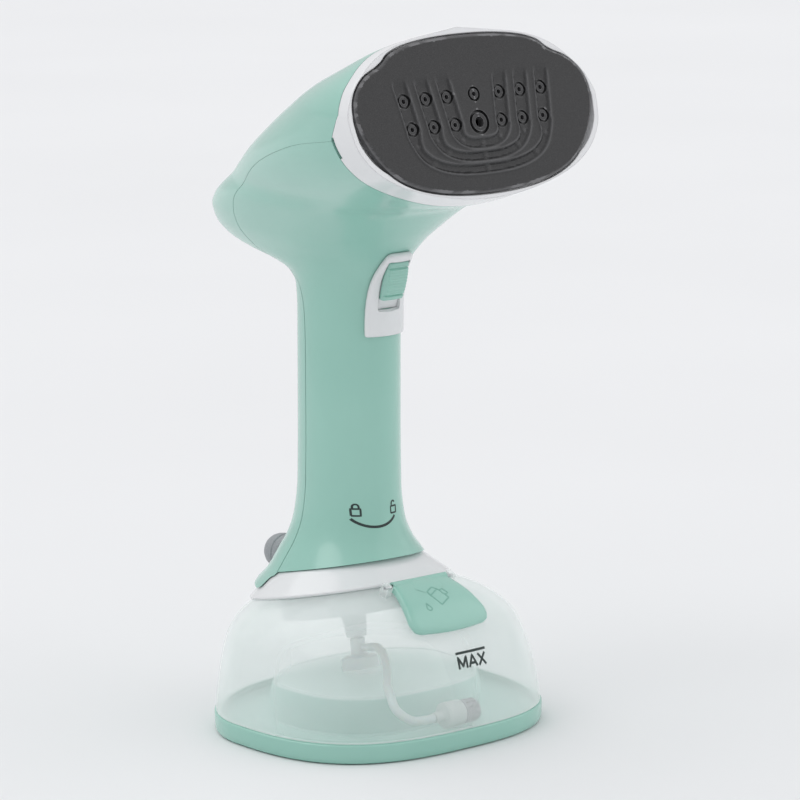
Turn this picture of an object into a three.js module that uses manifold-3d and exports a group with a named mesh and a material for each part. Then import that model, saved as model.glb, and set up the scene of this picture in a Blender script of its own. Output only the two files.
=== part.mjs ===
// Handheld garment steamer: a mint handle and head on a clear water tank.
// Millimetres, +Z up. The steam plate faces -Y, X = 0 is the plane of symmetry, and the
// origin is on the underside of the base, straight below the axis of the handle.
import * as THREE from "three";
import { mergeVertices } from "three/addons/utils/BufferGeometryUtils.js";
import Module from "manifold-3d";

const wasm = await Module();
wasm.setup();

// Driving dimensions.
const gap = 0.3; // between pieces that touch
const shellWall = 2.2; // moulded handle and head shells
const tankWall = 2.4; // moulded clear tank
const handleHalfWidth = 19.3; // across the grip
const handleHalfDepth = 23.6; // front to back of the grip, halved
const gripLength = 114; // from the top of the collar flare to the head
const headHalfWidth = 63.8; // the widest part of the head
const headRise = 112.5; // from the top of the grip to the top of the head
const faceTilt = 18; // degrees that the steam plate leans back
const facePlateRise = 80; // from the top of the grip to the middle of the plate
const faceReach = 79; // middle of the plate, in front of the handle axis
const plateHalfWidth = headHalfWidth - 3.3;
const plateHeight = 62.5;
const plateThickness = 3.2;
const plateProud = 0.6; // the plate stands in front of the bezel's lip
const plateSeatClear = 0.8; // round the rim of the plate
const windowInset = 8; // the opening behind the plate, in from the plate's outline
const ledgeThickness = 1.8; // ledge of the bezel that carries the gasket
const gasketSpace = 1.2; // between the ledge and the plate
const holePitch = 11;
const holeRadius = 0.9;
const centreHoleRadius = 2.1;
const bezelDepthTop = 6;
const bezelDepthSide = 13.5;
const collarHeight = 10;
const collarTopRadius = 31.5;
const collarRadius = 41.5;
const collarTilt = 12.4; // degrees: the collar is higher at the front
const collarRise = 54; // height of the collar's underside on the handle axis
const spigotRadius = 24.6; // plug of the handle that stands in the neck
const spigotWall = 2.2;
const sealWire = 1; // radius of the neck seal's rubber section
const sealClear = 0.6; // what the seal leaves between the plug and the neck
const neckBoreRadius = spigotRadius + 2 * sealWire + sealClear;
const neckWall = 2.2;
const neckDepth = 10.5; // how far the neck reaches down into the tank
const plugDepth = 8.5; // how far the plug reaches down into the neck
const lugDepth = 1.4; // the bayonet lugs reach this far past the neck's bore
const unlockAngle = 30; // degrees that the handle turns on the tank
const lugAngle = 24; // degrees of each bayonet lug
const baseHalfWidth = 67.5;
const baseFront = 75;
const baseRear = 41;
const baseMiddle = -9; // where the base is widest
const baseHeight = 8;
const trayWall = 2.8; // side of the base cap
const trayFloor = 2.4; // bottom of the base cap
const floorRise = 5.2; // top of the tank's floor
const plateauRise = 20; // top of the raised middle of the floor
const plateauInset = 24;
const capTopHalfWidth = 14.5;
const capBottomHalfWidth = 20;
const capLength = 25.5;
const capThickness = 3;
const capLift = 1.2; // space between the cap and the tank
const pinRadius = 0.8;
const fillerRadius = 9.5;
const fillerClear = 0.8; // round the cap's seal in the filler hole
const fillerBelowPin = 13.4;
const switchHalfWidth = 10;
const switchLength = 35.5;
const switchProud = 2.6;
const sliderHalfWidth = 5.1;
const sliderLength = 16.5;
const sliderTravel = 4.5;
const sliderLean = 15; // degrees, the lean of the handle's front under the head
const columnRadius = 7.7; // foot of the suction column
const columnClear = 0.5; // round it in the well of the floor
const columnNeck = 3.2;
const columnPipe = 2.4; // its upper end, inside the plug's drop tube
const dropTubeWall = 1.2;
const dropTubeClear = 0.7; // round the column's upper end
const hoseRadius = 1.8;
const filterRadius = 5.4;
const filterLength = 17;
const swivelRadius = 7.8;
const pumpRadius = 8;
const pumpLength = 44;
const pumpBore = 5;
const coilRadius = 14.6;
const mountRadius = 16;
const barbLength = 6;
const barbRadius = 2.6;
const barbBore = 1.2;
const waterHoseRadius = 2.4;
const screwRadius = 1.4;
const screwHeadRadius = 2.9;
const screwHeadHeight = 2.4;
const screwLength = 12;
const screwClear = 0.3;
const screwHeadClear = 0.5;
const bossRadius = 4.2;

// Levels that follow from them.
const gripBase = collarRise + collarHeight; // 64 on the handle axis
const gripTop = gripBase + gripLength;
const faceCentre = new THREE.Vector3(0, -faceReach, gripTop + facePlateRise);

const radians = THREE.MathUtils.degToRad;
const collarFrame = new THREE.Matrix4()
  .makeRotationX(radians(-collarTilt))
  .setPosition(0, 0, collarRise);
// Across the plate is x, up the plate is y, and z points out of the plate.
const faceFrame = new THREE.Matrix4().makeRotationX(radians(90 - faceTilt)).setPosition(faceCentre);

// Finishes.
const finish = (color, roughness, metalness = 0) =>
  new THREE.MeshStandardMaterial({ color, roughness, metalness });
const mint = finish(0x93c3b5, 0.35);
const white = finish(0xe6e7ea, 0.3);
const clear = finish(0xdde4e2, 0.2);
clear.transparent = true;
clear.opacity = 0.45;
const ceramic = finish(0x3d3d3e, 0.45, 0.2);
const aluminium = finish(0xb9bbbd, 0.45, 0.9);
const steel = finish(0xc4c5c7, 0.3, 1);
const copper = finish(0xb06a3c, 0.35, 0.9);
const rubber = finish(0x4b4d50, 0.8);
const silicone = finish(0xe2e4e2, 0.5);
const greyPlastic = finish(0x97999c, 0.5);
const board = finish(0x2f6b46, 0.6);
const darkPlastic = finish(0x303236, 0.5);

// The triangles that keep three different corners once a pole's points are merged.
function openTriangles(index) {
  const kept = [];
  for (let i = 0; i < index.length; i += 3) {
    const [a, b, c] = index.slice(i, i + 3);
    if (a !== b && b !== c && c !== a) kept.push(a, b, c);
  }
  return new Uint32Array(kept);
}

// A closed geometry as a solid whose faces point outwards.
function solid(geometry, frame) {
  const points = geometry.clone();
  points.deleteAttribute("normal");
  points.deleteAttribute("uv");
  if (frame) points.applyMatrix4(frame);
  const merged = mergeVertices(points, 1e-4);
  const corners = openTriangles(merged.index.array);
  const vertProperties = merged.attributes.position.array;
  const made = new wasm.Manifold(
    new wasm.Mesh({ numProp: 3, vertProperties, triVerts: corners }),
  );
  if (made.volume() > 0) return made;
  return new wasm.Manifold(
    new wasm.Mesh({ numProp: 3, vertProperties, triVerts: corners.reverse() }),
  );
}

const garment = new THREE.Group();
function piece(name, shape, material) {
  const mesh = shape.getMesh();
  const geometry = new THREE.BufferGeometry();
  geometry.setAttribute("position", new THREE.BufferAttribute(mesh.vertProperties, 3));
  geometry.setIndex(new THREE.BufferAttribute(mesh.triVerts, 1));
  geometry.computeVertexNormals();
  const made = new THREE.Mesh(geometry, material);
  made.name = name;
  garment.add(made);
}

const move = (x, y, z) => new THREE.Matrix4().makeTranslation(x, y, z);
const block = (width, depth, height, centre, frame = new THREE.Matrix4()) =>
  solid(new THREE.BoxGeometry(width, depth, height).translate(...centre), frame);

// A solid of revolution about z. Its profile of [radius, height] pairs starts and ends on the
// axis, or else is closed on itself here.
function turned(profile, frame, segments = 24) {
  const onAxis = profile[0][0] === 0;
  const closed = (onAxis ? profile : [...profile, profile[0]]).map(
    ([r, z]) => new THREE.Vector2(r, z),
  );
  return solid(new THREE.LatheGeometry(closed, segments).rotateX(Math.PI / 2), frame);
}
const rod = (radius, low, high, frame, segments) =>
  turned([[0, low], [radius, low], [radius, high], [0, high]], frame, segments);
const ring = (inner, outer, low, high, frame, segments) =>
  turned([[inner, low], [outer, low], [outer, high], [inner, high]], frame, segments);

// A flat outline pushed from one height to another along z.
function slab(points, low, high, frame) {
  const shape = new THREE.Shape(points);
  const geometry = new THREE.ExtrudeGeometry(shape, { depth: high - low, bevelEnabled: false });
  return solid(geometry.translate(0, 0, low), frame);
}

// An outline in the plane of symmetry, [y, z] pairs, pushed across the whole width.
function sideways(points, halfWidth, frame = new THREE.Matrix4()) {
  const shape = new THREE.Shape(points.map(([y, z]) => new THREE.Vector2(y, z)));
  const geometry = new THREE.ExtrudeGeometry(shape, { depth: 2 * halfWidth, bevelEnabled: false });
  const turn = new THREE.Matrix4().makeBasis(
    new THREE.Vector3(0, 1, 0),
    new THREE.Vector3(0, 0, 1),
    new THREE.Vector3(1, 0, 0),
  );
  return solid(geometry.translate(0, 0, -halfWidth).applyMatrix4(turn), frame);
}

// A round tube along a smooth curve.
function tube(points, radius, steps, sides = 8) {
  const path = new THREE.CatmullRomCurve3(points.map((p) => new THREE.Vector3(...p)));
  const section = new THREE.Shape();
  for (let i = 0; i < sides; i++) {
    const angle = (2 * Math.PI * i) / sides;
    const corner = [radius * Math.cos(angle), radius * Math.sin(angle)];
    if (i === 0) section.moveTo(...corner);
    else section.lineTo(...corner);
  }
  return solid(new THREE.ExtrudeGeometry(section, { steps, extrudePath: path }));
}

// A closed skin through rings of points, with a flat lid on the first and last ring.
function loft(rings) {
  const around = rings[0].length;
  const points = rings.flat();
  const faces = [];
  for (let level = 0; level + 1 < rings.length; level++) {
    for (let i = 0; i < around; i++) {
      const next = (i + 1) % around;
      const a = level * around + i;
      const b = level * around + next;
      faces.push(a, b, b + around, a, b + around, a + around);
    }
  }
  const lids = [
    [0, 1],
    [rings.length - 1, -1],
  ];
  for (const [level, sense] of lids) {
    const centre = new THREE.Vector3();
    rings[level].forEach((p) => centre.addScaledVector(p, 1 / around));
    points.push(centre);
    for (let i = 0; i < around; i++) {
      const a = level * around + i;
      const b = level * around + ((i + 1) % around);
      faces.push(points.length - 1, ...(sense > 0 ? [b, a] : [a, b]));
    }
  }
  const geometry = new THREE.BufferGeometry().setFromPoints(points);
  geometry.setIndex(faces);
  return geometry;
}

// The same skin moved along its own normals, inwards when the distance is negative.
function offset(geometry, distance) {
  const moved = geometry.clone();
  moved.computeVertexNormals();
  const { position, normal } = moved.attributes;
  for (let i = 0; i < position.count; i++) {
    position.setXYZ(
      i,
      position.getX(i) + distance * normal.getX(i),
      position.getY(i) + distance * normal.getY(i),
      position.getZ(i) + distance * normal.getZ(i),
    );
  }
  return moved;
}

// A smooth rising or falling line through stations, without overshoot.
function smooth(places, values) {
  const slopes = places.slice(1).map((p, i) => (values[i + 1] - values[i]) / (p - places[i]));
  const tangents = places.map((_, i) => {
    if (i === 0) return slopes[0];
    if (i === slopes.length) return slopes[i - 1];
    const [before, after] = [slopes[i - 1], slopes[i]];
    return before * after <= 0 ? 0 : (2 * before * after) / (before + after);
  });
  return (place) => {
    let i = 0;
    while (i < places.length - 2 && place > places[i + 1]) i++;
    const span = places[i + 1] - places[i];
    const t = (place - places[i]) / span;
    const rise = values[i + 1] - values[i];
    const bend = t * (1 - t) * span;
    const start = (tangents[i] - rise / span) * (1 - t);
    const end = (tangents[i + 1] - rise / span) * t;
    return values[i] + rise * t + bend * (start - end);
  };
}

// --- The moulded body: grip and head as one smooth skin -----------------------------------
// Each station is a level slice: half an ellipse in front of its middle and half one behind.
// [height, half width, middle, front, rear], with y to the rear.
const flare = [
  [collarRise - 12, 46, 0, -46, 46],
  [collarRise + 2, 38.4, 0, -38.6, 38.6],
  [collarRise + 6.5, 34.2, 0, -41, 34.6],
  [collarRise + 12, 31, 0, -36.5, 31.4],
  [collarRise + 16, 28.6, 0, -33, 29.6],
  [collarRise + 20, 25.8, 0, -28.8, 27.4],
  [collarRise + 31, 21.2, 0, -24.9, 24.9],
  [collarRise + 45, handleHalfWidth + 0.3, 0, -handleHalfDepth - 0.2, handleHalfDepth + 0.2],
];
const grip = [
  [gripTop - 50, handleHalfWidth, 0, -handleHalfDepth, handleHalfDepth],
  [gripTop - 8, handleHalfWidth, 0, -handleHalfDepth, handleHalfDepth],
];
// Heights above the grip, as a share of the head's rise, and widths as a share from grip to head.
const head = [
  [0.02, 0.005, 0, -24.4, 24.6],
  [0.07, 0.025, 0, -25.8, 31],
  [0.1, 0.055, 1, -27.4, 45],
  [0.123, 0.085, 3, -29, 62],
  [0.155, 0.14, 5, -31.6, 73],
  [0.2, 0.23, 5, -36, 78.5],
  [0.25, 0.32, 1, -42.6, 79.5],
  [0.3, 0.41, -6, -49.5, 75.5],
  [0.345, 0.49, -14, -57, 68.5],
  [0.39, 0.55, -24, -77.5, 60.5],
  [0.45, 0.69, -36, -97, 51],
  [0.52, 0.83, -50, -125, 40],
  [0.59, 0.93, -62, -150, 27.5],
  [0.66, 0.985, -72, -170, 15],
  [0.73, 1, -76, -170, 1],
  [0.8, 0.93, -76, -170, -14],
  [0.86, 0.79, -74, -160, -30],
  [0.92, 0.59, -72, -150, -46],
  [0.965, 0.28, -70, -110, -59],
  [1, -0.39, -69, -75, -66],
].map(([height, width, middle, front, rear]) => [
  gripTop + headRise * height,
  handleHalfWidth + (headHalfWidth - handleHalfWidth) * width,
  middle,
  front,
  rear,
]);

const stations = [...flare, ...grip, ...head];
const heights = stations.map((row) => row[0]);
const bodyHalfWidth = smooth(heights, stations.map((row) => row[1]));
const bodyMiddle = smooth(heights, stations.map((row) => row[2]));
const bodyFront = smooth(heights, stations.map((row) => row[3]));
const bodyRear = smooth(heights, stations.map((row) => row[4]));

function bodySlice(height, around) {
  const points = [];
  for (let i = 0; i < around; i++) {
    const angle = (2 * Math.PI * i) / around;
    const reach = Math.sin(angle) > 0 ? bodyRear(height) : bodyFront(height);
    const along = Math.abs(Math.sin(angle)) * (reach - bodyMiddle(height));
    points.push(
      new THREE.Vector3(
        bodyHalfWidth(height) * Math.cos(angle),
        bodyMiddle(height) + along,
        height,
      ),
    );
  }
  return points;
}

// Levels between the stations, closer together where the skin turns.
const levels = heights.flatMap((height, i) => {
  const next = heights[i + 1];
  const even = next === undefined || next - height < 6.5 || height < gripTop - 1;
  return even ? [height] : [height, (height + next) / 2];
});
const bodySkin = loft(levels.map((height) => bodySlice(height, 24)));
const plainSkin = loft(heights.map((height) => bodySlice(height, 16)));
const inFront = block(400, 400, 100, [0, 0, 50], faceFrame);
const bodyOuter = solid(bodySkin).subtract(inFront);
const bodyInner = solid(offset(plainSkin, -shellWall));

// Everything from the collar's top plane down, seen from the collar.
const belowShells = block(200, 200, 60, [0, 0, collarHeight + gap - 30], collarFrame);
const collarEnvelope = turned(
  [[0, -20], [collarRadius + gap, -20], [collarRadius + gap, 2],
    [collarTopRadius + gap, collarHeight + gap], [0, collarHeight + gap]],
  collarFrame,
  32,
);
// The hollow keeps a rim round the shells' foot, and the plug of the handle passes through it.
const aboveRim = block(600, 600, 600, [0, 0, collarHeight + shellWall + 300], collarFrame);
const plugPassage = rod(spigotRadius + gap, -20, collarHeight + shellWall + 1, collarFrame);
const bodyHollow = bodyInner.intersect(aboveRim).add(plugPassage);

// The bezel is shallow over the top of the plate and deep round its sides and underneath.
const bezelStep = (grow) => [
  [80, 20],
  [80, -bezelDepthTop - grow],
  [6, -bezelDepthTop - grow],
  [-2, -bezelDepthSide - grow],
  [-80, -bezelDepthSide - grow],
  [-80, 20],
];

// The seam between the shells, in the plane of symmetry: from the bezel back over the side
// of the head, round its rear, and down the rear third of the grip.
const seamPoints = [
  [-faceReach - 20, gripTop + 78.5],
  [-faceReach + 14, gripTop + 73],
  [-35, gripTop + 67.5],
  [1, gripTop + 56],
  [23, gripTop + 44],
  [33, gripTop + 36],
  [37.5, gripTop + 24],
  [32, gripTop + 14.5],
  [18, gripTop + 8],
  [9, gripTop + 1],
  [5.6, gripTop - 12],
  [5, gripTop - 40],
  [5, collarRise + 45],
  [6, collarRise + 20],
  [8, collarRise + 8.5],
].map(([y, z]) => new THREE.Vector2(y, z));
const tailFoot = collarRise + 0.8;
const seam = new THREE.SplineCurve(seamPoints).getPoints(44).map((p) => [p.x, p.y]);
const behindSeam = (shift) =>
  sideways(
    [
      ...seam.map(([y, z]) => [y - shift, z]),
      [13 - shift, tailFoot],
      [200, tailFoot],
      [200, gripTop + 200],
      [-faceReach - 20 - shift, gripTop + 200],
    ],
    100,
  );

// Screws that hold the shells together: two down the back of the grip, two in the head.
const screws = [
  { name: "grip_screw_lower", x: 0, z: collarRise + 40, seat: 17 },
  { name: "grip_screw_upper", x: 0, z: gripTop - 22, seat: 17 },
  { name: "head_screw_left", x: -13, z: gripTop + 30, seat: 62 },
  { name: "head_screw_right", x: 13, z: gripTop + 30, seat: 62 },
];
// A frame whose z axis points to the rear.
const rearward = (x, y, z) =>
  new THREE.Matrix4().makeRotationX(radians(-90)).setPosition(x, y, z);
const swivelHeight = collarRise + 6;
const swivelSeat = 37.4;

// --- Switch on the front of the grip ---------------------------------------------------------
const switchFoot = gripTop - 16;
const switchOutline = (inset) => {
  const half = switchHalfWidth - inset;
  const top = switchFoot + switchLength - inset;
  const foot = switchFoot + inset;
  const shape = new THREE.Shape();
  shape.moveTo(-half + 2.5, foot);
  shape.lineTo(half - 2.5, foot);
  shape.quadraticCurveTo(half, foot, half, foot + 3);
  shape.bezierCurveTo(half, foot + 14, half - 0.8, foot + 24, half * 0.68, top - 1.5);
  shape.quadraticCurveTo(half * 0.6, top, half * 0.45, top);
  shape.lineTo(-half * 0.45, top);
  shape.quadraticCurveTo(-half * 0.6, top, -half * 0.68, top - 1.5);
  shape.bezierCurveTo(-half + 0.8, foot + 24, -half, foot + 14, -half, foot + 3);
  shape.quadraticCurveTo(-half, foot, -half + 2.5, foot);
  return shape.getPoints(5);
};
// Pushed from the front towards the grip: x across, and the outline's y upwards.
const fromFront = new THREE.Matrix4().makeRotationX(radians(90));
const switchPrism = (inset) => slab(switchOutline(inset), 8, 60, fromFront);
const sliderPlane = 29; // in front of the handle axis at the middle of the slot
const sliderMiddle = gripTop + 7.4;
const sliderFrame = new THREE.Matrix4()
  .makeRotationX(radians(90 + sliderLean))
  .setPosition(0, -sliderPlane, sliderMiddle);
const slotLength = sliderLength + sliderTravel + 1;
const slotFloor = -2.6;
const slotMiddle = (sliderLength + 1 - slotLength) / 2;
const slot = block(
  2 * sliderHalfWidth + 0.9,
  slotLength,
  12,
  [0, slotMiddle, slotFloor + 6],
  sliderFrame,
);
const stemWidth = 5;
const stemSlot = block(
  stemWidth + 1,
  stemWidth + sliderTravel + 3,
  24,
  [0, -sliderTravel / 2, 0],
  sliderFrame,
);

// --- Shells ------------------------------------------------------------------------------------
const bezelZone = (grow) => sideways(bezelStep(grow), 120, faceFrame);
const shellSkin = bodyOuter.subtract(bodyHollow).subtract(bezelZone(gap));

let backShell = shellSkin.intersect(behindSeam(0)).subtract(collarEnvelope);
for (const screw of screws) {
  const around = rearward(screw.x, 0, screw.z);
  const boss = rod(bossRadius, screw.seat - 9, screw.seat + 30, around, 16)
    .intersect(solid(offset(bodySkin, -shellWall / 2)))
    .intersect(behindSeam(-1));
  backShell = backShell
    .add(boss)
    .subtract(rod(screwHeadRadius + screwHeadClear, screw.seat, screw.seat + 40, around, 16))
    .subtract(rod(screwRadius + screwClear, 0, screw.seat + 5, around, 16));
}
const swivelFrame = rearward(0, 0, swivelHeight);
backShell = backShell
  .subtract(rod(4.7, 20, 60, swivelFrame, 24))
  .subtract(rod(swivelRadius + 1, swivelSeat - 2.4, 60, swivelFrame, 24));
piece("back_shell", backShell, mint);

const frontShell = shellSkin
  .subtract(behindSeam(0.4))
  .subtract(belowShells)
  .subtract(slot)
  .subtract(stemSlot);
piece("front_shell", frontShell, mint);

// --- Bezel, plate and boiler, seen from the face ---------------------------------------------
// Half the plate's outline from the bottom middle up to the top middle, then mirrored.
const upperEdge = plateHeight / 2;
const plateOutline = (inset) => {
  const half = plateHalfWidth - inset;
  const top = upperEdge - inset;
  const shape = new THREE.Shape();
  shape.moveTo(0, -top);
  shape.bezierCurveTo(half * 0.35, -top, half * 0.62, -top * 0.9, half * 0.77, -top * 0.68);
  shape.bezierCurveTo(half * 0.89, -top * 0.5, half, -top * 0.12, half, top * 0.1);
  shape.bezierCurveTo(half, top * 0.28, half * 0.97, top * 0.42, half * 0.88, top * 0.56);
  shape.bezierCurveTo(half * 0.8, top * 0.68, half * 0.73, top * 0.66, half * 0.66, top * 0.8);
  shape.bezierCurveTo(half * 0.58, top * 0.94, half * 0.3, top, 0, top);
  const side = shape.getPoints(5);
  const mirrored = side.slice(1, -1).reverse().map((p) => new THREE.Vector2(-p.x, p.y));
  return [...side, ...mirrored];
};
const plateBack = plateProud - plateThickness;
const ledgeFront = plateBack - gasketSpace;
const ledgeMiddle = ledgeFront - ledgeThickness / 2;
const ledgeZone = block(400, 400, ledgeThickness, [0, 0, ledgeMiddle], faceFrame);
const bezel = bodyOuter
  .subtract(block(400, 400, 40, [0, 0, 20 - gap], faceFrame))
  .intersect(bezelZone(0))
  .subtract(bodyInner.subtract(ledgeZone))
  .subtract(slab(plateOutline(windowInset), -40, 10, faceFrame))
  .subtract(slab(plateOutline(-plateSeatClear), ledgeFront, 10, faceFrame));
piece("head_bezel", bezel, white);

let soleplate = slab(plateOutline(0), plateBack, plateProud, faceFrame);
const upperRow = 7.6;
const lowerRow = -3.6;
const holeRows = [
  { height: upperRow, places: [-3.2, -2.2, -1.22, 0, 1.22, 2.2, 3.2] },
  { height: lowerRow, places: [-3.06, -2.07, -1.08, 1.08, 2.07, 3.06] },
];
for (const row of holeRows) {
  for (const place of row.places) {
    const middle = faceFrame.clone().multiply(move(place * holePitch, row.height, 0));
    soleplate = soleplate.subtract(rod(holeRadius, -20, 20, middle, 6));
  }
}
const centreHole = faceFrame.clone().multiply(move(0, lowerRow, 0));
soleplate = soleplate.subtract(rod(centreHoleRadius, -20, 20, centreHole, 12));
piece("soleplate", soleplate, ceramic);

const gasketInset = 1.5;
const gasket = slab(plateOutline(gasketInset), ledgeFront + gap, plateBack - gap, faceFrame)
  .subtract(slab(plateOutline(windowInset), -20, 20, faceFrame));
piece("plate_gasket", gasket, silicone);

const chamberInset = windowInset + 1;
const chamberWall = 4;
const chamberDepth = 19;
const chamberFront = plateBack - gap;
const chamberBack = chamberFront - chamberDepth;
const chamberSpace = chamberInset + chamberWall;
const chamber = slab(plateOutline(chamberInset), chamberBack, chamberFront, faceFrame).subtract(
  slab(plateOutline(chamberSpace), chamberBack + chamberWall, chamberFront + 1, faceFrame),
);
piece("steam_chamber", chamber, aluminium);
const coverFront = chamberBack - gap;
const coverThickness = 2.5;
const coverBack = coverFront - coverThickness;
const coverInset = chamberInset + 3;
piece("chamber_cover", slab(plateOutline(coverInset), coverBack, coverFront, faceFrame), aluminium);

const elementRadius = 3;
const elementReach = 26; // half the width of its U
const elementDrop = 14;
const elementTop = 4;
const elementBack = coverBack - gap - elementRadius - 0.2;
const onFace = (x, y, z) => new THREE.Vector3(x, y, z).applyMatrix4(faceFrame).toArray();
const elementPath = [];
for (let i = 0; i <= 12; i++) {
  const angle = Math.PI * (i / 12);
  const across = -elementReach * Math.cos(angle);
  elementPath.push(onFace(across, elementTop - elementDrop * Math.sin(angle), elementBack));
}
piece("heating_element", tube(elementPath, elementRadius, 24), steel);
const terminalRadius = 1.6;
const terminalHalf = 4;
const terminalClear = 0.6;
for (const [name, side] of [["terminal_left", -1], ["terminal_right", 1]]) {
  const upward = new THREE.Matrix4().makeRotationX(radians(-90));
  const post = faceFrame
    .clone()
    .multiply(move(elementReach * side, elementTop + terminalHalf + terminalClear, elementBack))
    .multiply(upward);
  const stud = rod(terminalRadius, -terminalHalf, terminalHalf, post, 8);
  piece(name, stud, steel);
}
const behindCover = coverBack - gap;
const thermostatRadius = 8;
const thermostatDepth = 7;
const thermostatFrame = faceFrame.clone().multiply(move(0, elementTop, behindCover));
const thermostat = rod(thermostatRadius, -thermostatDepth, 0, thermostatFrame, 20);
piece("thermostat", thermostat, darkPlastic);
const [fuseWidth, fuseHeight, fuseDepth] = [14, 5, 4];
const fuseRise = elementTop + thermostatRadius + fuseHeight / 2 + 1;
const fuseCentre = [0, fuseRise, behindCover - fuseDepth / 2];
piece("thermal_fuse", block(fuseWidth, fuseHeight, fuseDepth, fuseCentre, faceFrame), silicone);
const inletRise = -17; // below the middle of the plate
const inletBore = 1.6;
const inletRadius = 3.2;
const inletLength = 9;
const boilerInlet = faceFrame.clone().multiply(move(0, inletRise, behindCover));
const inlet = ring(inletBore, inletRadius, -inletLength, 0, boilerInlet, 12);
piece("boiler_inlet", inlet, aluminium);

// --- Collar and tank -------------------------------------------------------------------------
// Pockets let the lugs of the handle turn between locked and unlocked.
const pocketPlay = 3; // degrees past each end of a lug's travel
const pocketSpan = unlockAngle + lugAngle + 2 * pocketPlay;
function sector(radius, low, high, from, span, frame) {
  const shape = new THREE.Shape();
  shape.moveTo(0, 0);
  const steps = 6;
  for (let i = 0; i <= steps; i++) {
    const angle = radians(from + (span * i) / steps);
    shape.lineTo(radius * Math.cos(angle), radius * Math.sin(angle));
  }
  const geometry = new THREE.ExtrudeGeometry(shape, { depth: high - low, bevelEnabled: false });
  return solid(geometry.translate(0, 0, low), frame);
}
const lugStarts = [30, 150, 270];
const neckRadius = neckBoreRadius + neckWall;
const lugRadius = neckBoreRadius + lugDepth;
const lugClear = 0.4;
const lugLift = 0.6; // between a lug and its pocket's floor
let collar = turned(
  [[neckBoreRadius, -neckDepth], [neckRadius, -neckDepth], [neckRadius, 0],
    [collarRadius - 0.9, 0], [collarRadius, 0.8],
    [collarRadius - 0.6, 1.6], [collarTopRadius, collarHeight], [neckBoreRadius, collarHeight]],
  collarFrame,
  32,
);
const pocketFloor = 4.6;
for (const start of lugStarts) {
  collar = collar.subtract(
    sector(lugRadius + lugClear, pocketFloor, collarHeight + 5, start - pocketPlay, pocketSpan,
      collarFrame),
  );
}
piece("collar", collar, white);

// Plan of the base: a broad rounded shape, squarer at the front and an ellipse at the rear.
function basePoint(angle, inset) {
  const [c, s] = [Math.cos(angle), Math.sin(angle)];
  const fullness = s < 0 ? 2 / 2.8 : 1;
  const reach = s < 0 ? baseFront + baseMiddle : baseRear - baseMiddle;
  return new THREE.Vector3(
    (baseHalfWidth - inset) * Math.sign(c) * Math.abs(c) ** fullness,
    baseMiddle + (reach - inset) * Math.sign(s) * Math.abs(s) ** fullness,
    0,
  );
}
const tankAround = 32;
const baseOutline = (inset) =>
  Array.from({ length: tankAround }, (_, i) => {
    const p = basePoint((2 * Math.PI * i) / tankAround, inset);
    return new THREE.Vector2(p.x, p.y);
  });
// The wall leans in a little, then turns over a soft shoulder to the collar.
// [share of the way out from the collar, share of the height]
const tankMeridian = new THREE.SplineCurve([
  new THREE.Vector2(1, 0),
  new THREE.Vector2(0.95, 0.25),
  new THREE.Vector2(0.85, 0.5),
  new THREE.Vector2(0.71, 0.72),
  new THREE.Vector2(0.49, 0.86),
  new THREE.Vector2(0.25, 0.945),
  new THREE.Vector2(0, 1),
]);
const tankFoot = baseHeight + gap;
function tankPoint(angle, share, inset = 0) {
  const low = basePoint(angle, 0.6 + inset);
  const radius = collarRadius - 0.8 - inset;
  const high = new THREE.Vector3(radius * Math.cos(angle), radius * Math.sin(angle), -gap - inset)
    .applyMatrix4(collarFrame);
  const { x: out, y: up } = tankMeridian.getPoint(share);
  return new THREE.Vector3(
    high.x + (low.x - high.x) * out,
    high.y + (low.y - high.y) * out,
    tankFoot + (high.z - tankFoot) * up,
  );
}
const tankRings = (inset) =>
  Array.from({ length: 10 }, (_, level) =>
    Array.from({ length: tankAround }, (__, i) =>
      tankPoint((2 * Math.PI * i) / tankAround, level / 9, inset),
    ),
  );
const tankSkin = loft(tankRings(0));
const tankSolid = solid(tankSkin);

// The cap lies on the slope at the front of the tank.
const capHingeReach = collarRadius + 2.7;
const slopeAngle = -Math.PI / 2;
const slopeHigh = tankPoint(slopeAngle, 0.98);
const slopeLow = tankPoint(slopeAngle, 0.64);
const slopeLean = Math.atan2(slopeHigh.z - slopeLow.z, slopeHigh.y - slopeLow.y);
const slopeAt = (y) =>
  slopeLow.z + ((slopeHigh.z - slopeLow.z) * (y - slopeLow.y)) / (slopeHigh.y - slopeLow.y);
const capPivot = new THREE.Vector3(0, -capHingeReach, slopeAt(-capHingeReach) + 3.1);
const capFrame = new THREE.Matrix4()
  .makeRotationX(slopeLean)
  .setPosition(0, capPivot.y, capPivot.z);
// In the cap's frame y runs up the slope, so the cap lies at negative y below the hinge.
const capOutline = (inset) => {
  const top = capTopHalfWidth - inset;
  const low = capBottomHalfWidth - inset;
  const foot = -capLength + inset;
  const shape = new THREE.Shape();
  shape.moveTo(-top, 0.8);
  shape.lineTo(-top - 0.6, -4);
  shape.lineTo(-low + 0.8, foot + 6);
  shape.quadraticCurveTo(-low, foot + 0.6, -low + 5.5, foot + 0.4);
  shape.quadraticCurveTo(0, foot - 1.4, low - 5.5, foot + 0.4);
  shape.quadraticCurveTo(low, foot + 0.6, low - 0.8, foot + 6);
  shape.lineTo(top + 0.6, -4);
  shape.lineTo(top, 0.8);
  return shape.getPoints(5);
};
const pinFrame = new THREE.Matrix4().makeRotationY(Math.PI / 2).setPosition(capPivot);
const pinHalf = capTopHalfWidth + 3.4;
const capProud = solid(offset(tankSkin, capLift + capThickness));
const capClear = solid(offset(tankSkin, capLift));
const knuckle = block(2 * capTopHalfWidth - 1, 3.2, 3.4, [0, -0.8, 0.1], capFrame);
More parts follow.
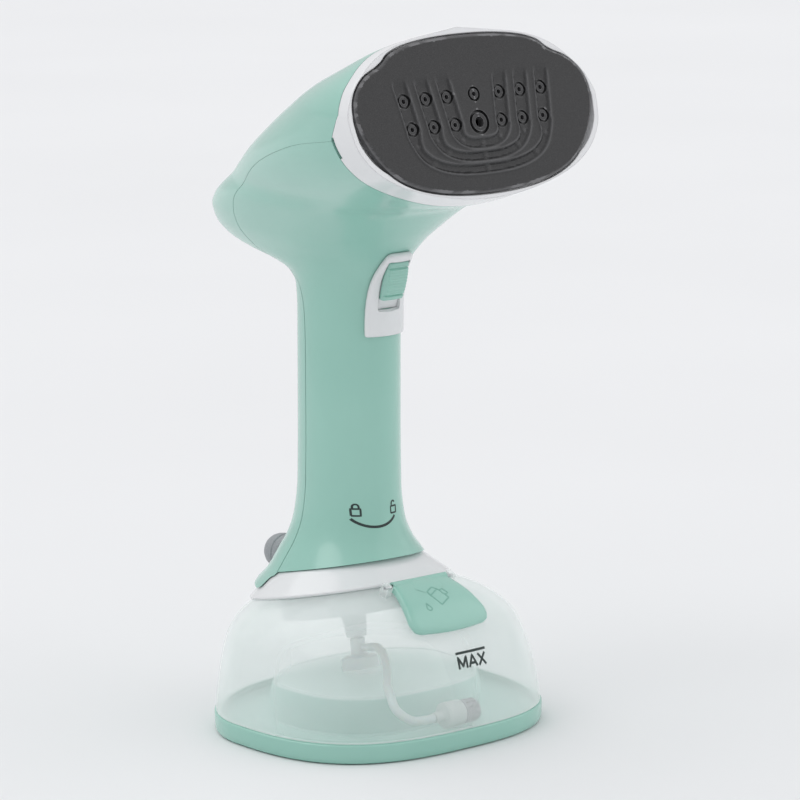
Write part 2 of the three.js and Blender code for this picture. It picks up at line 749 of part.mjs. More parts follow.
const cap = slab(capOutline(0), -12, 12, capFrame)
  .intersect(capProud)
  .subtract(capClear)
  .add(knuckle.subtract(solid(offset(tankSkin, 0.5))))
  .subtract(rod(pinRadius + 0.25, -30, 30, pinFrame, 12));
piece("fill_cap", cap, mint);
piece("cap_hinge_pin", rod(pinRadius, -pinHalf, pinHalf, pinFrame, 8), steel);

const fillerFrame = capFrame.clone().multiply(move(0, -fillerBelowPin, 0));
const seal = ring(5.6, fillerRadius - fillerClear, -7, 5, fillerFrame, 24)
  .intersect(solid(offset(tankSkin, 0.9)));
piece("fill_seal", seal, silicone);

const neckHole = rod(neckRadius + 0.4, -40, 40, collarFrame, 32);
const hingeEars = [-1, 1].map((side) =>
  block(2.4, 4.4, 9, [side * (capTopHalfWidth + 2.2), 0, -3], capFrame),
);
let tankShell = tankSolid;
for (const ear of hingeEars) tankShell = tankShell.add(ear);
tankShell = tankShell
  .subtract(solid(loft(tankRings(tankWall))))
  .subtract(slab(baseOutline(tankWall + 0.6), 0, tankFoot + 1))
  .subtract(neckHole)
  .subtract(rod(pinRadius + gap / 2, -30, 30, pinFrame, 8))
  .subtract(rod(fillerRadius, -14, 8, fillerFrame, 24));
piece("tank_shell", tankShell, clear);

const onAxis = (height) => (height - collarRise) / Math.cos(radians(collarTilt));
const dropTubeEnd = onAxis(plateauRise) + 13.2;
const wellDepth = 9;
const wellWall = 1.6;
const wellFloor = onAxis(plateauRise) - wellDepth;
const wellRadius = columnRadius + columnClear;
const floorPlate = slab(baseOutline(trayWall + 0.5), trayFloor + gap, floorRise);
const plateau = loft([
  baseOutline(plateauInset - 2).map((p) => new THREE.Vector3(p.x, p.y, floorRise - 1)),
  baseOutline(plateauInset).map((p) => new THREE.Vector3(p.x, p.y, plateauRise - 1.5)),
  baseOutline(plateauInset + 1.6).map((p) => new THREE.Vector3(p.x, p.y, plateauRise)),
]);
const plateauHollow = slab(baseOutline(plateauInset + 2.6), 0, plateauRise - 2);
const wellCup = rod(
  wellRadius + wellWall,
  wellFloor - wellWall,
  wellFloor + wellDepth,
  collarFrame,
);
const tankFloor = floorPlate
  .add(solid(plateau))
  .subtract(plateauHollow)
  .add(wellCup)
  .subtract(rod(wellRadius, wellFloor, wellFloor + 14, collarFrame));
piece("tank_floor", tankFloor, clear);

const baseTray = loft([
  baseOutline(1.4).map((p) => new THREE.Vector3(p.x, p.y, 0)),
  baseOutline(0.2).map((p) => new THREE.Vector3(p.x, p.y, 1.4)),
  baseOutline(-0.1).map((p) => new THREE.Vector3(p.x, p.y, baseHeight - 0.6)),
  baseOutline(0.4).map((p) => new THREE.Vector3(p.x, p.y, baseHeight)),
]);
const trayHollow = slab(baseOutline(trayWall), trayFloor, baseHeight + 5);
piece("base_cap", solid(baseTray).subtract(trayHollow), mint);

// --- Suction parts in the tank, on the axis of the neck -----------------------------------------
const columnFoot = wellFloor + gap;
const columnStep = onAxis(plateauRise) + 5;
const columnTop = -14;
const column = turned(
  [[0, columnFoot], [columnRadius, columnFoot], [columnRadius, columnStep],
    [columnNeck, columnStep + 1.2], [columnNeck, dropTubeEnd - 1],
    [columnPipe, dropTubeEnd - 0.5], [columnPipe, columnTop], [0, columnTop]],
  collarFrame,
  24,
);
piece("suction_column", column, silicone);
const elbowFrame = collarFrame
  .clone()
  .multiply(move(0, -3.5, columnStep + 3.4))
  .multiply(new THREE.Matrix4().makeRotationX(radians(90)));
piece("suction_elbow", rod(1.5, 0, 5, elbowFrame, 12), silicone);

// The limp hose hangs from the elbow, lies over the floor's raised middle and drops to the filter.
const hoseRoute = [
  [0, -14.3, 30.1],
  [0, -18.5, 30.6],
  [-1.5, -24, 28.8],
  [-5, -30, 25.2],
  [-10.5, -37, 22.8],
  [-15.5, -43, 22.6],
  [-20, -50, 21.6],
  [-22, -56, 16.5],
  [-17.5, -60, 12],
  [-11, -60.6, 10.9],
  [-6, -60.6, 10.9],
];
piece("suction_hose", tube(hoseRoute, hoseRadius, 24), silicone);
const [filterX, filterY, filterZ] = [-5.7, -60.6, 10.9];
const filterFrame = new THREE.Matrix4()
  .makeRotationY(Math.PI / 2)
  .setPosition(filterX, filterY, filterZ);
const filterStub = 5;
const filterJoin = filterStub + filterLength / 2;
const weight = turned(
  [[0, 0], [2.2, 0], [2.2, 4.4], [filterRadius, filterStub], [filterRadius, filterJoin], [0, filterJoin]],
  filterFrame,
  20,
);
piece("filter_weight", weight, steel);
const filterEnd = filterJoin + filterLength / 2;
const screen = turned(
  [[0, filterJoin + gap], [filterRadius - 0.5, filterJoin + gap],
    [filterRadius - 0.5, filterEnd - 1.5], [filterRadius - 2, filterEnd], [0, filterEnd]],
  filterFrame,
  20,
);
piece("filter_screen", screen, darkPlastic);

// --- Plug of the handle, its seal and its lugs ----------------------------------------------------
const spigotFoot = -plugDepth;
const sealLevel = -6;
const flangeLow = collarHeight + shellWall + gap;
const flangeHigh = flangeLow + 1.2;
const flangeRadius = spigotRadius + 0.9;
const plugInside = spigotRadius - spigotWall;
const dropTubeBore = columnPipe + dropTubeClear;
let spigot = turned(
  [[dropTubeBore, dropTubeEnd], [dropTubeBore + dropTubeWall, dropTubeEnd],
    [dropTubeBore + 2.5, spigotFoot], [spigotRadius, spigotFoot],
    [spigotRadius, flangeLow], [flangeRadius, flangeLow], [flangeRadius, flangeHigh],
    [plugInside, flangeHigh], [plugInside, spigotFoot + 2], [3.2, spigotFoot + 2], [3.2, -2],
    [1.6, -2], [1.6, spigotFoot + 1], [dropTubeBore, spigotFoot]],
  collarFrame,
  32,
);
for (const start of lugStarts) {
  const lug = sector(lugRadius, pocketFloor + lugLift, collarHeight - 1, start, lugAngle, collarFrame)
    .subtract(rod(spigotRadius - 1, -20, 20, collarFrame, 32));
  spigot = spigot.add(lug);
}
piece("spigot", spigot, white);
const sealMiddle = (spigotRadius + neckBoreRadius) / 2;
const sealProfile = Array.from({ length: 6 }, (_, i) => {
  const angle = (Math.PI * i) / 3;
  return [sealMiddle + sealWire * Math.cos(angle), sealLevel + sealWire * Math.sin(angle)];
});
piece("neck_seal", turned(sealProfile, collarFrame, 24), rubber);

// --- Pump in the grip ---------------------------------------------------------------------------
const pumpFoot = gripBase + 38;
const pumpTop = pumpFoot + pumpLength;
const pumpWall = pumpRadius - pumpBore;
const pumpBody = turned(
  [[barbBore, pumpFoot - barbLength], [barbRadius, pumpFoot - barbLength],
    [barbRadius, pumpFoot], [pumpRadius, pumpFoot], [pumpRadius, pumpTop],
    [barbRadius, pumpTop], [barbRadius, pumpTop + barbLength],
    [barbBore, pumpTop + barbLength], [barbBore, pumpTop - pumpWall],
    [pumpBore, pumpTop - pumpWall], [pumpBore, pumpFoot + pumpWall],
    [barbBore, pumpFoot + pumpWall]],
  undefined,
  16,
);
piece("pump_body", pumpBody, darkPlastic);
const mountHeight = 4.4;
const lowerMount = pumpFoot + 2;
const coilFoot = lowerMount + mountHeight + 0.6;
const coilTop = coilFoot + 24;
const upperMount = coilTop + 0.6;
const onPump = (outer, low, high) => ring(pumpRadius + gap, outer, low, high, undefined, 16);
piece("pump_coil", onPump(coilRadius, coilFoot, coilTop), copper);
piece("pump_mount_lower", onPump(mountRadius, lowerMount, lowerMount + mountHeight), rubber);
piece("pump_mount_upper", onPump(mountRadius, upperMount, upperMount + mountHeight), rubber);
const pistonFoot = pumpFoot + 2 * pumpWall;
const pistonTop = pistonFoot + 18;
piece("pump_piston", ring(1, pumpBore - gap, pistonFoot, pistonTop, undefined, 12), steel);
const springTurns = 5;
const springFoot = pistonTop + 0.8;
const springTop = pumpTop - 3.8;
const springPath = Array.from({ length: springTurns * 8 + 1 }, (_, i) => {
  const angle = (2 * Math.PI * i) / 8;
  const rise = springFoot + ((springTop - springFoot) * i) / (springTurns * 8);
  return [3.5 * Math.cos(angle), 3.5 * Math.sin(angle), rise];
});
piece("pump_spring", tube(springPath, 0.5, springTurns * 8, 4), steel);

const inletHose = [
  [0, -0.35, collarRise - 1.6],
  [0, 0.6, collarRise + 12],
  [0, 0.4, collarRise + 30],
  [0, 0, pumpFoot - barbLength - gap],
];
piece("inlet_hose", tube(inletHose, waterHoseRadius, 10), silicone);
const outletHose = [
  [0, 0, pumpTop + barbLength + gap],
  [0, 2, gripTop - 12],
  [0, 4, gripTop + 6],
  [0, 3, gripTop + 22],
  [0, -8, gripTop + 35],
  [0, -24, gripTop + 43.5],
  [0, -40, gripTop + 49.1],
  onFace(0, inletRise, behindCover - inletLength - gap),
];
piece("outlet_hose", tube(outletHose, waterHoseRadius, 22), silicone);

// --- Electrical parts -----------------------------------------------------------------------------
piece("circuit_board", block(32, 1.6, 22, [0, 33, gripTop + 31]), board);
piece("micro_switch", block(8, 8, 14, [0, -7, gripTop + 8]), darkPlastic);

// --- Switch -----------------------------------------------------------------------------------------
const switchPlate = solid(offset(bodySkin, switchProud))
  .intersect(switchPrism(0))
  .subtract(solid(offset(bodySkin, gap)))
  .subtract(slot)
  .subtract(stemSlot);
piece("switch_plate", switchPlate, white);
const sliderFoot = slotFloor + 1.2;
const sliderHeight = 4.1;
const slider = block(
  2 * sliderHalfWidth,
  sliderLength,
  sliderHeight,
  [0, 0, sliderFoot + sliderHeight / 2],
  sliderFrame,
).add(block(stemWidth, stemWidth, 7, [0, 0, sliderFoot - 3], sliderFrame));
piece("switch_slider", slider, mint);
const carrierTop = sliderFoot - 6.5 - gap;
piece("switch_carrier", block(13, 24, 1.4, [0, 0, carrierTop - 0.7], sliderFrame), greyPlastic);

// --- Cord outlet ------------------------------------------------------------------------------------
const swivel = turned(
  [[0, swivelSeat - 3.2], [4.2, swivelSeat - 3.2], [4.2, swivelSeat - 1.6], [6.4, swivelSeat - 1.2],
    [swivelRadius, swivelSeat + 1.2], [swivelRadius, swivelSeat + 7.2],
    [swivelRadius * 0.88, swivelSeat + 10.6], [swivelRadius * 0.62, swivelSeat + 12.8],
    [3.4, swivelSeat + 13.4], [3.4, swivelSeat + 4], [0, swivelSeat + 4]],
  swivelFrame,
  20,
);
piece("cord_swivel", swivel, greyPlastic);

for (const screw of screws) {
  const shaft = turned(
    [[0, screw.seat - screwLength], [screwRadius, screw.seat - screwLength],
      [screwRadius, screw.seat + gap], [screwHeadRadius, screw.seat + gap],
      [screwHeadRadius, screw.seat + screwHeadHeight], [0, screw.seat + screwHeadHeight]],
    rearward(screw.x, 0, screw.z),
    12,
  );
  piece(screw.name, shaft, steel);
}

export default garment;
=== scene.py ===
"""A handheld garment steamer on its clear water tank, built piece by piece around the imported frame.

Metres, +Z up. The steam plate faces -Y, and X = 0 is the plane of symmetry.
"""
import math

import bpy
from mathutils import Matrix, Vector


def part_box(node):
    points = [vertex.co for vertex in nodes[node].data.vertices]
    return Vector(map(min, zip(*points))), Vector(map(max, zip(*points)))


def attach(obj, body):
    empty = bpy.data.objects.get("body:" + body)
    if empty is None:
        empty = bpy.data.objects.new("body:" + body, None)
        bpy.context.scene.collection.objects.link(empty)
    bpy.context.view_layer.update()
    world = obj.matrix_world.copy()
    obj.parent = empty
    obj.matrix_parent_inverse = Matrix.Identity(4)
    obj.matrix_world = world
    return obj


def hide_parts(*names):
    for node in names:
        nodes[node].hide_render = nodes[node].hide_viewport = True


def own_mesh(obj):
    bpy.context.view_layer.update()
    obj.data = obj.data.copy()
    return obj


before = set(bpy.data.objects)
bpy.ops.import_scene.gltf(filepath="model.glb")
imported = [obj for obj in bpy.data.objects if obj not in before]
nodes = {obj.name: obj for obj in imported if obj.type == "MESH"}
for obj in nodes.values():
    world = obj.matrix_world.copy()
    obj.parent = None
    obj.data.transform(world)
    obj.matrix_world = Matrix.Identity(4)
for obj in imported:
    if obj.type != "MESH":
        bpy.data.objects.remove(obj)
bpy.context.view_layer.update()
MM = 0.001

# --- Studio ---------------------------------------------------------------------------------------
# A long lens looks slightly down at the steamer from its front left, over a seamless pale table.
# Two big soft boxes and a bright room leave it almost without shadows.
aim = Vector((16.0, -13.4, 131.7)) * MM
camera_azimuth, camera_height, camera_distance = math.radians(-40), math.radians(11.5), 1.72
towards_camera = Vector((
    math.sin(camera_azimuth) * math.cos(camera_height),
    -math.cos(camera_azimuth) * math.cos(camera_height),
    math.sin(camera_height),
))
bpy.ops.object.select_all(action="DESELECT")
bpy.ops.object.camera_add(location=aim + camera_distance * towards_camera)
camera = bpy.context.object
camera.rotation_euler = (-towards_camera).to_track_quat("-Z", "Y").to_euler()
camera.data.lens = 189
camera.data.sensor_width = 36
bpy.context.scene.camera = camera
bpy.context.scene.view_settings.view_transform = "Standard"


def colour(code):
    """A linear colour, with alpha, from an sRGB hex code such as #93C0B3."""
    shares = [int(code[i:i + 2], 16) / 255 for i in (1, 3, 5)]
    linear = [s / 12.92 if s <= 0.04045 else ((s + 0.055) / 1.055) ** 2.4 for s in shares]
    return (*linear, 1)


def add_node(tree, kind, inputs=None, **settings):
    """Adds a node with its settings; an input is a value, or an output socket to link from."""
    made = tree.nodes.new(kind)
    for key, value in settings.items():
        setattr(made, key, value)
    for key, value in (inputs or {}).items():
        if isinstance(value, bpy.types.NodeSocket):
            tree.links.new(value, made.inputs[key])
        else:
            made.inputs[key].default_value = value
    return made


def new_material(name, **shader):
    """An empty Principled material: returns it, its tree and its shader node."""
    material = bpy.data.materials.new(name)
    material.use_nodes = True
    tree = material.node_tree
    principled = tree.nodes["Principled BSDF"]
    for key, value in shader.items():
        principled.inputs[key.replace("_", " ")].default_value = value
    return material, tree, principled


def drifting_colour(tree, shader, dark, light, scale, detail=2.0, dark_to=0.0, light_from=1.0):
    """Lets a material's colour drift between two shades over about 1/scale metres.

    Returns the place on the piece, the drift from 0 to 1, and the colour, for more nodes.
    """
    place = add_node(tree, "ShaderNodeTexCoord").outputs["Object"]
    drift = add_node(tree, "ShaderNodeTexNoise", {
        "Vector": place, "Scale": scale, "Detail": detail,
    }).outputs["Fac"]
    shade = add_node(tree, "ShaderNodeValToRGB", {"Fac": drift})
    low, high = shade.color_ramp.elements
    low.color, low.position = colour(dark), dark_to
    high.color, high.position = colour(light), light_from
    tree.links.new(shade.outputs["Color"], shader.inputs["Base Color"])
    return place, drift, shade.outputs["Color"]


# The table is matt white laminate, with a trace of mottling a third of a metre wide.
table_paint, tree, shader = new_material("matt_white_laminate", Roughness=0.9)
drifting_colour(tree, shader, "#E4E5E6", "#E9EAEB", 3.0)
bpy.ops.mesh.primitive_plane_add(size=30, location=(0, 0, -0.0002))
table = bpy.context.object
table.name = "table"
table.data.materials.append(table_paint)

room = bpy.data.worlds.new("studio_room")
bpy.context.scene.world = room
room.use_nodes = True
room.node_tree.nodes["Background"].inputs["Color"].default_value = colour("#F5F5F7")
# The ceiling of the room is brighter than its walls.
room_way = add_node(room.node_tree, "ShaderNodeTexCoord").outputs["Generated"]
room_height = add_node(room.node_tree, "ShaderNodeSeparateXYZ", {"Vector": room_way})
room_light = add_node(room.node_tree, "ShaderNodeMapRange", {
    "Value": room_height.outputs["Z"], "From Min": 0.1, "From Max": 0.8,
    "To Min": 0.70, "To Max": 0.87,
})
room.node_tree.links.new(
    room_light.outputs["Result"], room.node_tree.nodes["Background"].inputs["Strength"]
)


def far_soft_box(name, place, spread, strength):
    """A distant square of light, seen from the steamer over a wide angle, in degrees."""
    bpy.ops.object.light_add(type="SUN", location=place)
    lamp = bpy.context.object
    lamp.name = name
    lamp.data.angle = math.radians(spread)
    lamp.data.energy = strength
    lamp.rotation_euler = (Vector(place) - aim).to_track_quat("Z", "Y").to_euler()


far_soft_box("key_left", (-1.9, 0.3, 2.3), 30, 0.34)
far_soft_box("fill_right", (1.9, -1.6, 1.5), 70, 0.42)
far_soft_box("top", (-0.3, 1.2, 2.6), 50, 0.58)

# --- Moulded shells -------------------------------------------------------------------------------
# Grip and head are two injection-moulded ABS shells, mint green with a satin gloss, that meet in
# a seam round the head and down the grip. Screws from the rear hold them together.
# The skin is a stack of level slices: half an ellipse in front of its middle, half one behind.
# [height, half width, middle, front, rear]
shell_wall = 2.2 * MM
collar_rise = 54 * MM
grip_top = 178 * MM
head_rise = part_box("head_bezel")[1].z - grip_top
grip_half_width = 19.3 * MM
head_half_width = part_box("head_bezel")[1].x
flare = [
    (-12, 46, 0, -46, 46), (2, 38.4, 0, -38.6, 38.6), (6.5, 34.2, 0, -41, 34.6),
    (12, 31, 0, -36.5, 31.4), (16, 28.6, 0, -33, 29.6), (20, 25.8, 0, -28.8, 27.4),
    (31, 21.2, 0, -24.9, 24.9), (45, 19.6, 0, -23.8, 23.8), (74, 19.3, 0, -23.6, 23.6),
    (116, 19.3, 0, -23.6, 23.6),
]
# Heights above the grip as a share of the head's rise, widths as a share from grip to head.
head = [
    (0.02, 0.005, 0, -24.4, 24.6), (0.07, 0.025, 0, -25.8, 31), (0.1, 0.055, 1, -27.4, 45),
    (0.123, 0.085, 3, -29, 62), (0.155, 0.14, 5, -31.6, 73), (0.2, 0.23, 5, -36, 78.5),
    (0.25, 0.32, 1, -42.6, 79.5), (0.3, 0.41, -6, -49.5, 75.5), (0.345, 0.49, -14, -57, 68.5),
    (0.39, 0.55, -24, -77.5, 60.5), (0.45, 0.69, -36, -97, 51), (0.52, 0.83, -50, -125, 40),
    (0.59, 0.93, -62, -150, 27.5), (0.66, 0.985, -72, -170, 15), (0.73, 1, -76, -170, 1),
    (0.8, 0.93, -76, -170, -14), (0.86, 0.79, -74, -160, -30), (0.92, 0.59, -72, -150, -46),
    (0.965, 0.28, -70, -110, -59), (1, -0.39, -69, -75, -66),
]
stations = [[collar_rise + z * MM] + [v * MM for v in row] for z, *row in flare]
for share, width, *row in head:
    half = grip_half_width + (head_half_width - grip_half_width) * width
    stations.append([grip_top + head_rise * share, half] + [v * MM for v in row])


def smooth(places, values):
    """A smooth line through stations, without overshoot."""
    slopes = [(values[i + 1] - values[i]) / (places[i + 1] - places[i])
              for i in range(len(places) - 1)]
    tangents = [slopes[0]]
    for before, after in zip(slopes, slopes[1:]):
        turning = before * after <= 0
        tangents.append(0 if turning else 2 * before * after / (before + after))
    tangents.append(slopes[-1])

    def at(place):
        i = 0
        while i < len(places) - 2 and place > places[i + 1]:
            i += 1
        span = places[i + 1] - places[i]
        t = (place - places[i]) / span
        start = (tangents[i] - slopes[i]) * (1 - t)
        end = (tangents[i + 1] - slopes[i]) * t
        return values[i] + (values[i + 1] - values[i]) * t + t * (1 - t) * span * (start - end)
    return at


station_heights = [row[0] for row in stations]
body_half_width, body_middle, body_front, body_rear = (
    smooth(station_heights, [row[i] for row in stations]) for i in (1, 2, 3, 4)
)


def body_point(angle, height):
    """A point of the skin at an angle round its level slice."""
    reach = body_rear(height) if math.sin(angle) > 0 else body_front(height)
    middle = body_middle(height)
    return Vector((
        body_half_width(height) * math.cos(angle),
        middle + (reach - middle) * abs(math.sin(angle)),
        height,
    ))


def new_grid(name, across, along):
    """A flat grid from -1 to 1 each way, to be shaped."""
    bpy.ops.object.select_all(action="DESELECT")
    bpy.ops.mesh.primitive_grid_add(x_subdivisions=across, y_subdivisions=along, size=2)
    made = bpy.context.object
    made.name = made.data.name = name
    return made


def turn_faces_out():
    """Turns every face of the piece in edit mode outwards, and leaves edit mode."""
    bpy.ops.mesh.select_all(action="SELECT")
    bpy.ops.mesh.normals_make_consistent(inside=False)
    bpy.ops.object.mode_set(mode="OBJECT")


def push_all(way):
    """Extrudes the whole of the active piece along a way, and turns its faces outwards."""
    bpy.ops.object.mode_set(mode="EDIT")
    bpy.ops.mesh.select_all(action="SELECT")
    bpy.ops.mesh.extrude_region_move(TRANSFORM_OT_translate={"value": way})
    turn_faces_out()


def select_only(piece):
    bpy.ops.object.select_all(action="DESELECT")
    bpy.context.view_layer.objects.active = piece
    piece.select_set(True)


def skin_tube(name, point, around, levels):
    """A closed skin: a grid wrapped round, point(angle, level) giving each vertex's place."""
    made = new_grid(name, around, levels)
    for vertex in made.data.vertices:
        turn, share = (vertex.co.x + 1) / 2, (vertex.co.y + 1) / 2
        vertex.co = point(2 * math.pi * turn, share)
    bpy.ops.object.mode_set(mode="EDIT")
    bpy.ops.mesh.select_all(action="SELECT")
    bpy.ops.mesh.remove_doubles(threshold=1e-6)
    bpy.ops.mesh.fill_holes(sides=0)
    turn_faces_out()
    return made


def cutter_prism(name, points, low, high, place=Matrix()):
    """A flat outline of (x, y) points pushed from low to high along its own z, then placed."""
    bpy.ops.object.select_all(action="DESELECT")
    bpy.ops.mesh.primitive_circle_add(vertices=len(points), radius=1, fill_type="NGON")
    made = bpy.context.object
    made.name = name
    for vertex, (x, y) in zip(made.data.vertices, points):
        vertex.co = (x, y, low)
    push_all((0, 0, high - low))
    made.data.transform(place)
    return made


def combine(piece, other, operation="DIFFERENCE", keep=False):
    """Cuts or joins another solid into a piece."""
    select_only(piece)
    step = piece.modifiers.new("cut", "BOOLEAN")
    step.object = other
    step.operation = operation
    step.solver = "EXACT"
    bpy.ops.object.modifier_apply(modifier=step.name)
    if not keep:
        bpy.data.objects.remove(other)


def duplicate(piece, name):
    copy = piece.copy()
    copy.data = piece.data.copy()
    copy.name = copy.data.name = name
    bpy.context.collection.objects.link(copy)
    return copy


def smooth_by_angle(piece, degrees=32):
    select_only(piece)
    bpy.ops.object.shade_smooth_by_angle(angle=math.radians(degrees))


def tilted(degrees, origin):
    """A frame turned about X and then set at a place."""
    return Matrix.Translation(origin) @ Matrix.Rotation(math.radians(degrees), 4, "X")


face_tilt, face_plate_rise, face_reach = 18, 80 * MM, 79 * MM
face_frame = tilted(90 - face_tilt, (0, -face_reach, grip_top + face_plate_rise))
collar_tilt = 12.4
collar_frame = tilted(-collar_tilt, (0, 0, collar_rise))
collar_height, collar_radius, collar_top_radius = 10 * MM, 41.5 * MM, 31.5 * MM
gap = 0.3 * MM

lowest, highest = station_heights[0], station_heights[-1]
skin_levels = 118


def level_height(share, top=highest):
    """Levels crowd towards the head, where the skin turns most."""
    grip_share, neck = 0.3, grip_top - 8 * MM
    if share < grip_share:
        return lowest + (neck - lowest) * share / grip_share
    return neck + (top - neck) * (share - grip_share) / (1 - grip_share)


body_skin = skin_tube("body_skin", lambda a, s: body_point(a, level_height(s)), 96, skin_levels)
# The core is the same skin stood in by the wall; it stops short of the head's narrow crown.
crown = highest - 3.5 * MM
body_core = skin_tube("body_core", lambda a, s: body_point(a, level_height(s, crown)), 64, 80)
core_normals = [vertex.normal.copy() for vertex in body_core.data.vertices]
for vertex, normal in zip(body_core.data.vertices, core_normals):
    vertex.co -= shell_wall * normal
# The hollow stops above the foot, which keeps a rim where the plug's flange sits.
rim_top = collar_height + shell_wall
# Cutters that take all on one side of a plane reach well past the whole object.
beyond = 0.2
everything = [(-0.3, -0.3), (0.3, -0.3), (0.3, 0.3), (-0.3, 0.3)]
combine(body_core, cutter_prism("below_rim", everything, -beyond, rim_top, collar_frame))

bezel_depth_top, bezel_depth_side = 6 * MM, 13.5 * MM
# Turns an outline of (y, z) points so that it is pushed across X.
upright = Matrix(((0, 0, 1, 0), (1, 0, 0, 0), (0, 1, 0, 0), (0, 0, 0, 1)))


def bezel_zone(name, grow):
    """The band of the head that is the bezel: shallow above the plate, deep round its sides."""
    top, side = -bezel_depth_top - grow, -bezel_depth_side - grow
    step_above, step_below, reach, half_across = 6 * MM, -2 * MM, 0.15, 0.12
    outline = [(reach, beyond), (reach, top), (step_above, top), (step_below, side),
               (-reach, side), (-reach, beyond)]
    return cutter_prism(name, outline, -half_across, half_across, face_frame @ upright)


def turned(name, profile, around, place=Matrix()):
    """A profile of (radius, height) points spun about z; it closes on itself or on the axis."""
    closed = profile[0][0] > 0
    count = len(profile) + (1 if closed else 0)
    made = new_grid(name, around, count - 1)
    for vertex in made.data.vertices:
        angle = math.pi * (vertex.co.x + 1)
        step = round((vertex.co.y + 1) / 2 * (count - 1)) % len(profile)
        radius, height = profile[step]
        vertex.co = (radius * math.cos(angle), radius * math.sin(angle), height)
    bpy.ops.object.mode_set(mode="EDIT")
    bpy.ops.mesh.select_all(action="SELECT")
    bpy.ops.mesh.remove_doubles(threshold=1e-7)
    bpy.ops.mesh.dissolve_degenerate(threshold=1e-7)
    turn_faces_out()
    made.data.transform(place)
    return made


def round_bar(name, radius, low, high, around, place=Matrix()):
    """A plain round bar along z."""
    return turned(name, [(0, low), (radius, low), (radius, high), (0, high)], around, place)


# The room that the collar takes up under the shells.
shell_foot = turned("shell_foot", [
    (0, -0.02), (collar_radius + gap, -0.02), (collar_radius + gap, 0.002),
    (collar_top_radius + gap, collar_height + gap), (0, collar_height + gap),
], 96, collar_frame)

casing = duplicate(body_skin, "casing")
combine(casing, bezel_zone("shell_front", gap))
combine(casing, shell_foot)
combine(casing, body_core, keep=True)

# The seam lies in the plane of symmetry and is pushed right across: [y, height].
seam_points = [
    (-99, 256.5), (-65, 251), (-35, 245.5), (1, 234), (23, 222), (33, 214), (37.5, 202),
    (32, 192.5), (18, 186), (9, 179), (5.6, 166), (5, 138), (5, 99), (6, 74), (8, 62.5),
]
seam_smooth_steps = 6
tail_start, tail_foot = 13 * MM, collar_rise + 0.8 * MM


def rounded_line(points, steps):
    """A Catmull-Rom line through the points."""
    ends = [points[0], *points, points[-1]]
    line = []
    for before, start, end, after in zip(ends, ends[1:], ends[2:], ends[3:]):
        for i in range(steps):
            t = i / steps
            line.append(tuple(
                0.5 * (2 * b + (c - a) * t + (2 * a - 5 * b + 4 * c - d) * t ** 2
                       + (3 * b - a - 3 * c + d) * t ** 3)
                for a, b, c, d in zip(before, start, end, after)
            ))
    return [*line, points[-1]]


seam = rounded_line([(y * MM, z * MM) for y, z in seam_points], seam_smooth_steps)


def behind_seam(name, shift):
    """All that lies behind the seam, moved rearwards by a shift."""
    outline = [(y + shift, z) for y, z in seam]
    outline += [(tail_start + shift, tail_foot), (beyond, tail_foot), (beyond, 2 * beyond),
                (seam[0][0] + shift, 2 * beyond)]
    return cutter_prism(name, outline, -0.1, 0.1, upright)


# Wipe-clean ABS: a satin gloss with faint orange peel from the tool, and a thin clear reflection.
mint_abs, tree, shader = new_material(
    "mint_moulded_abs", Roughness=0.27, IOR=1.53, Coat_Weight=0.5, Coat_Roughness=0.1,
)
# Pigment streaks a few centimetres long.
place, *_ = drifting_colour(tree, shader, "#93C5B7", "#98C9BB", 18.0, 3.0, 0.35, 0.65)
# Orange peel, one ripple in 1.2 mm.
peel = add_node(tree, "ShaderNodeTexNoise", {"Vector": place, "Scale": 830.0, "Detail": 1.0})
bump = add_node(tree, "ShaderNodeBump", {
    "Height": peel.outputs["Fac"], "Strength": 0.03, "Distance": 0.0002,
})
tree.links.new(bump.outputs["Normal"], shader.inputs["Normal"])

back_shell = duplicate(casing, "rear_casing")
combine(back_shell, behind_seam("rear_region", 0), "INTERSECT")
front_shell = casing
front_shell.name = front_shell.data.name = "front_casing"
seam_gap = 0.4 * MM
combine(front_shell, behind_seam("rear_region", -seam_gap))
combine(front_shell, cutter_prism(
    "under_front_shell", everything, -0.1, collar_height + gap, collar_frame
))

# The rear shell is recessed for the cord outlet and bored for its screws.
rearward = Matrix.Rotation(math.radians(-90), 4, "X")
swivel_low, swivel_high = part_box("cord_swivel")
swivel_axis = (swivel_low.z + swivel_high.z) / 2
swivel_radius = (swivel_high.z - swivel_low.z) / 2
swivel_seat = swivel_low.y + 3.2 * MM
outlet_bore_radius, recess_margin, recess_depth = 4.7 * MM, 1 * MM, 2.4 * MM
screw_names = ("grip_screw_lower", "grip_screw_upper", "head_screw_left", "head_screw_right")
screw_well_radius, screw_head_height = 3.4 * MM, 2.4 * MM


def bore(name, radius, low, high, x, z, around=40):
    """A straight round cutter that runs to the rear from y = low to y = high."""
    frame_here = Matrix.Translation((x, 0, z)) @ rearward
    return round_bar(name, radius, low, high, around, frame_here)


combine(back_shell, bore("outlet_bore", outlet_bore_radius, 0.02, 0.06, 0, swivel_axis))
combine(back_shell, bore(
    "outlet_recess", swivel_radius + recess_margin, swivel_seat - recess_depth, 0.06, 0,
    swivel_axis, 64,
))
for screw in screw_names:
    low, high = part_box(screw)
    x, z = (low.x + high.x) / 2, (low.z + high.z) / 2
    seat = high.y - screw_head_height
    combine(back_shell, bore("screw_well", screw_well_radius, seat, seat + 0.04, x, z))

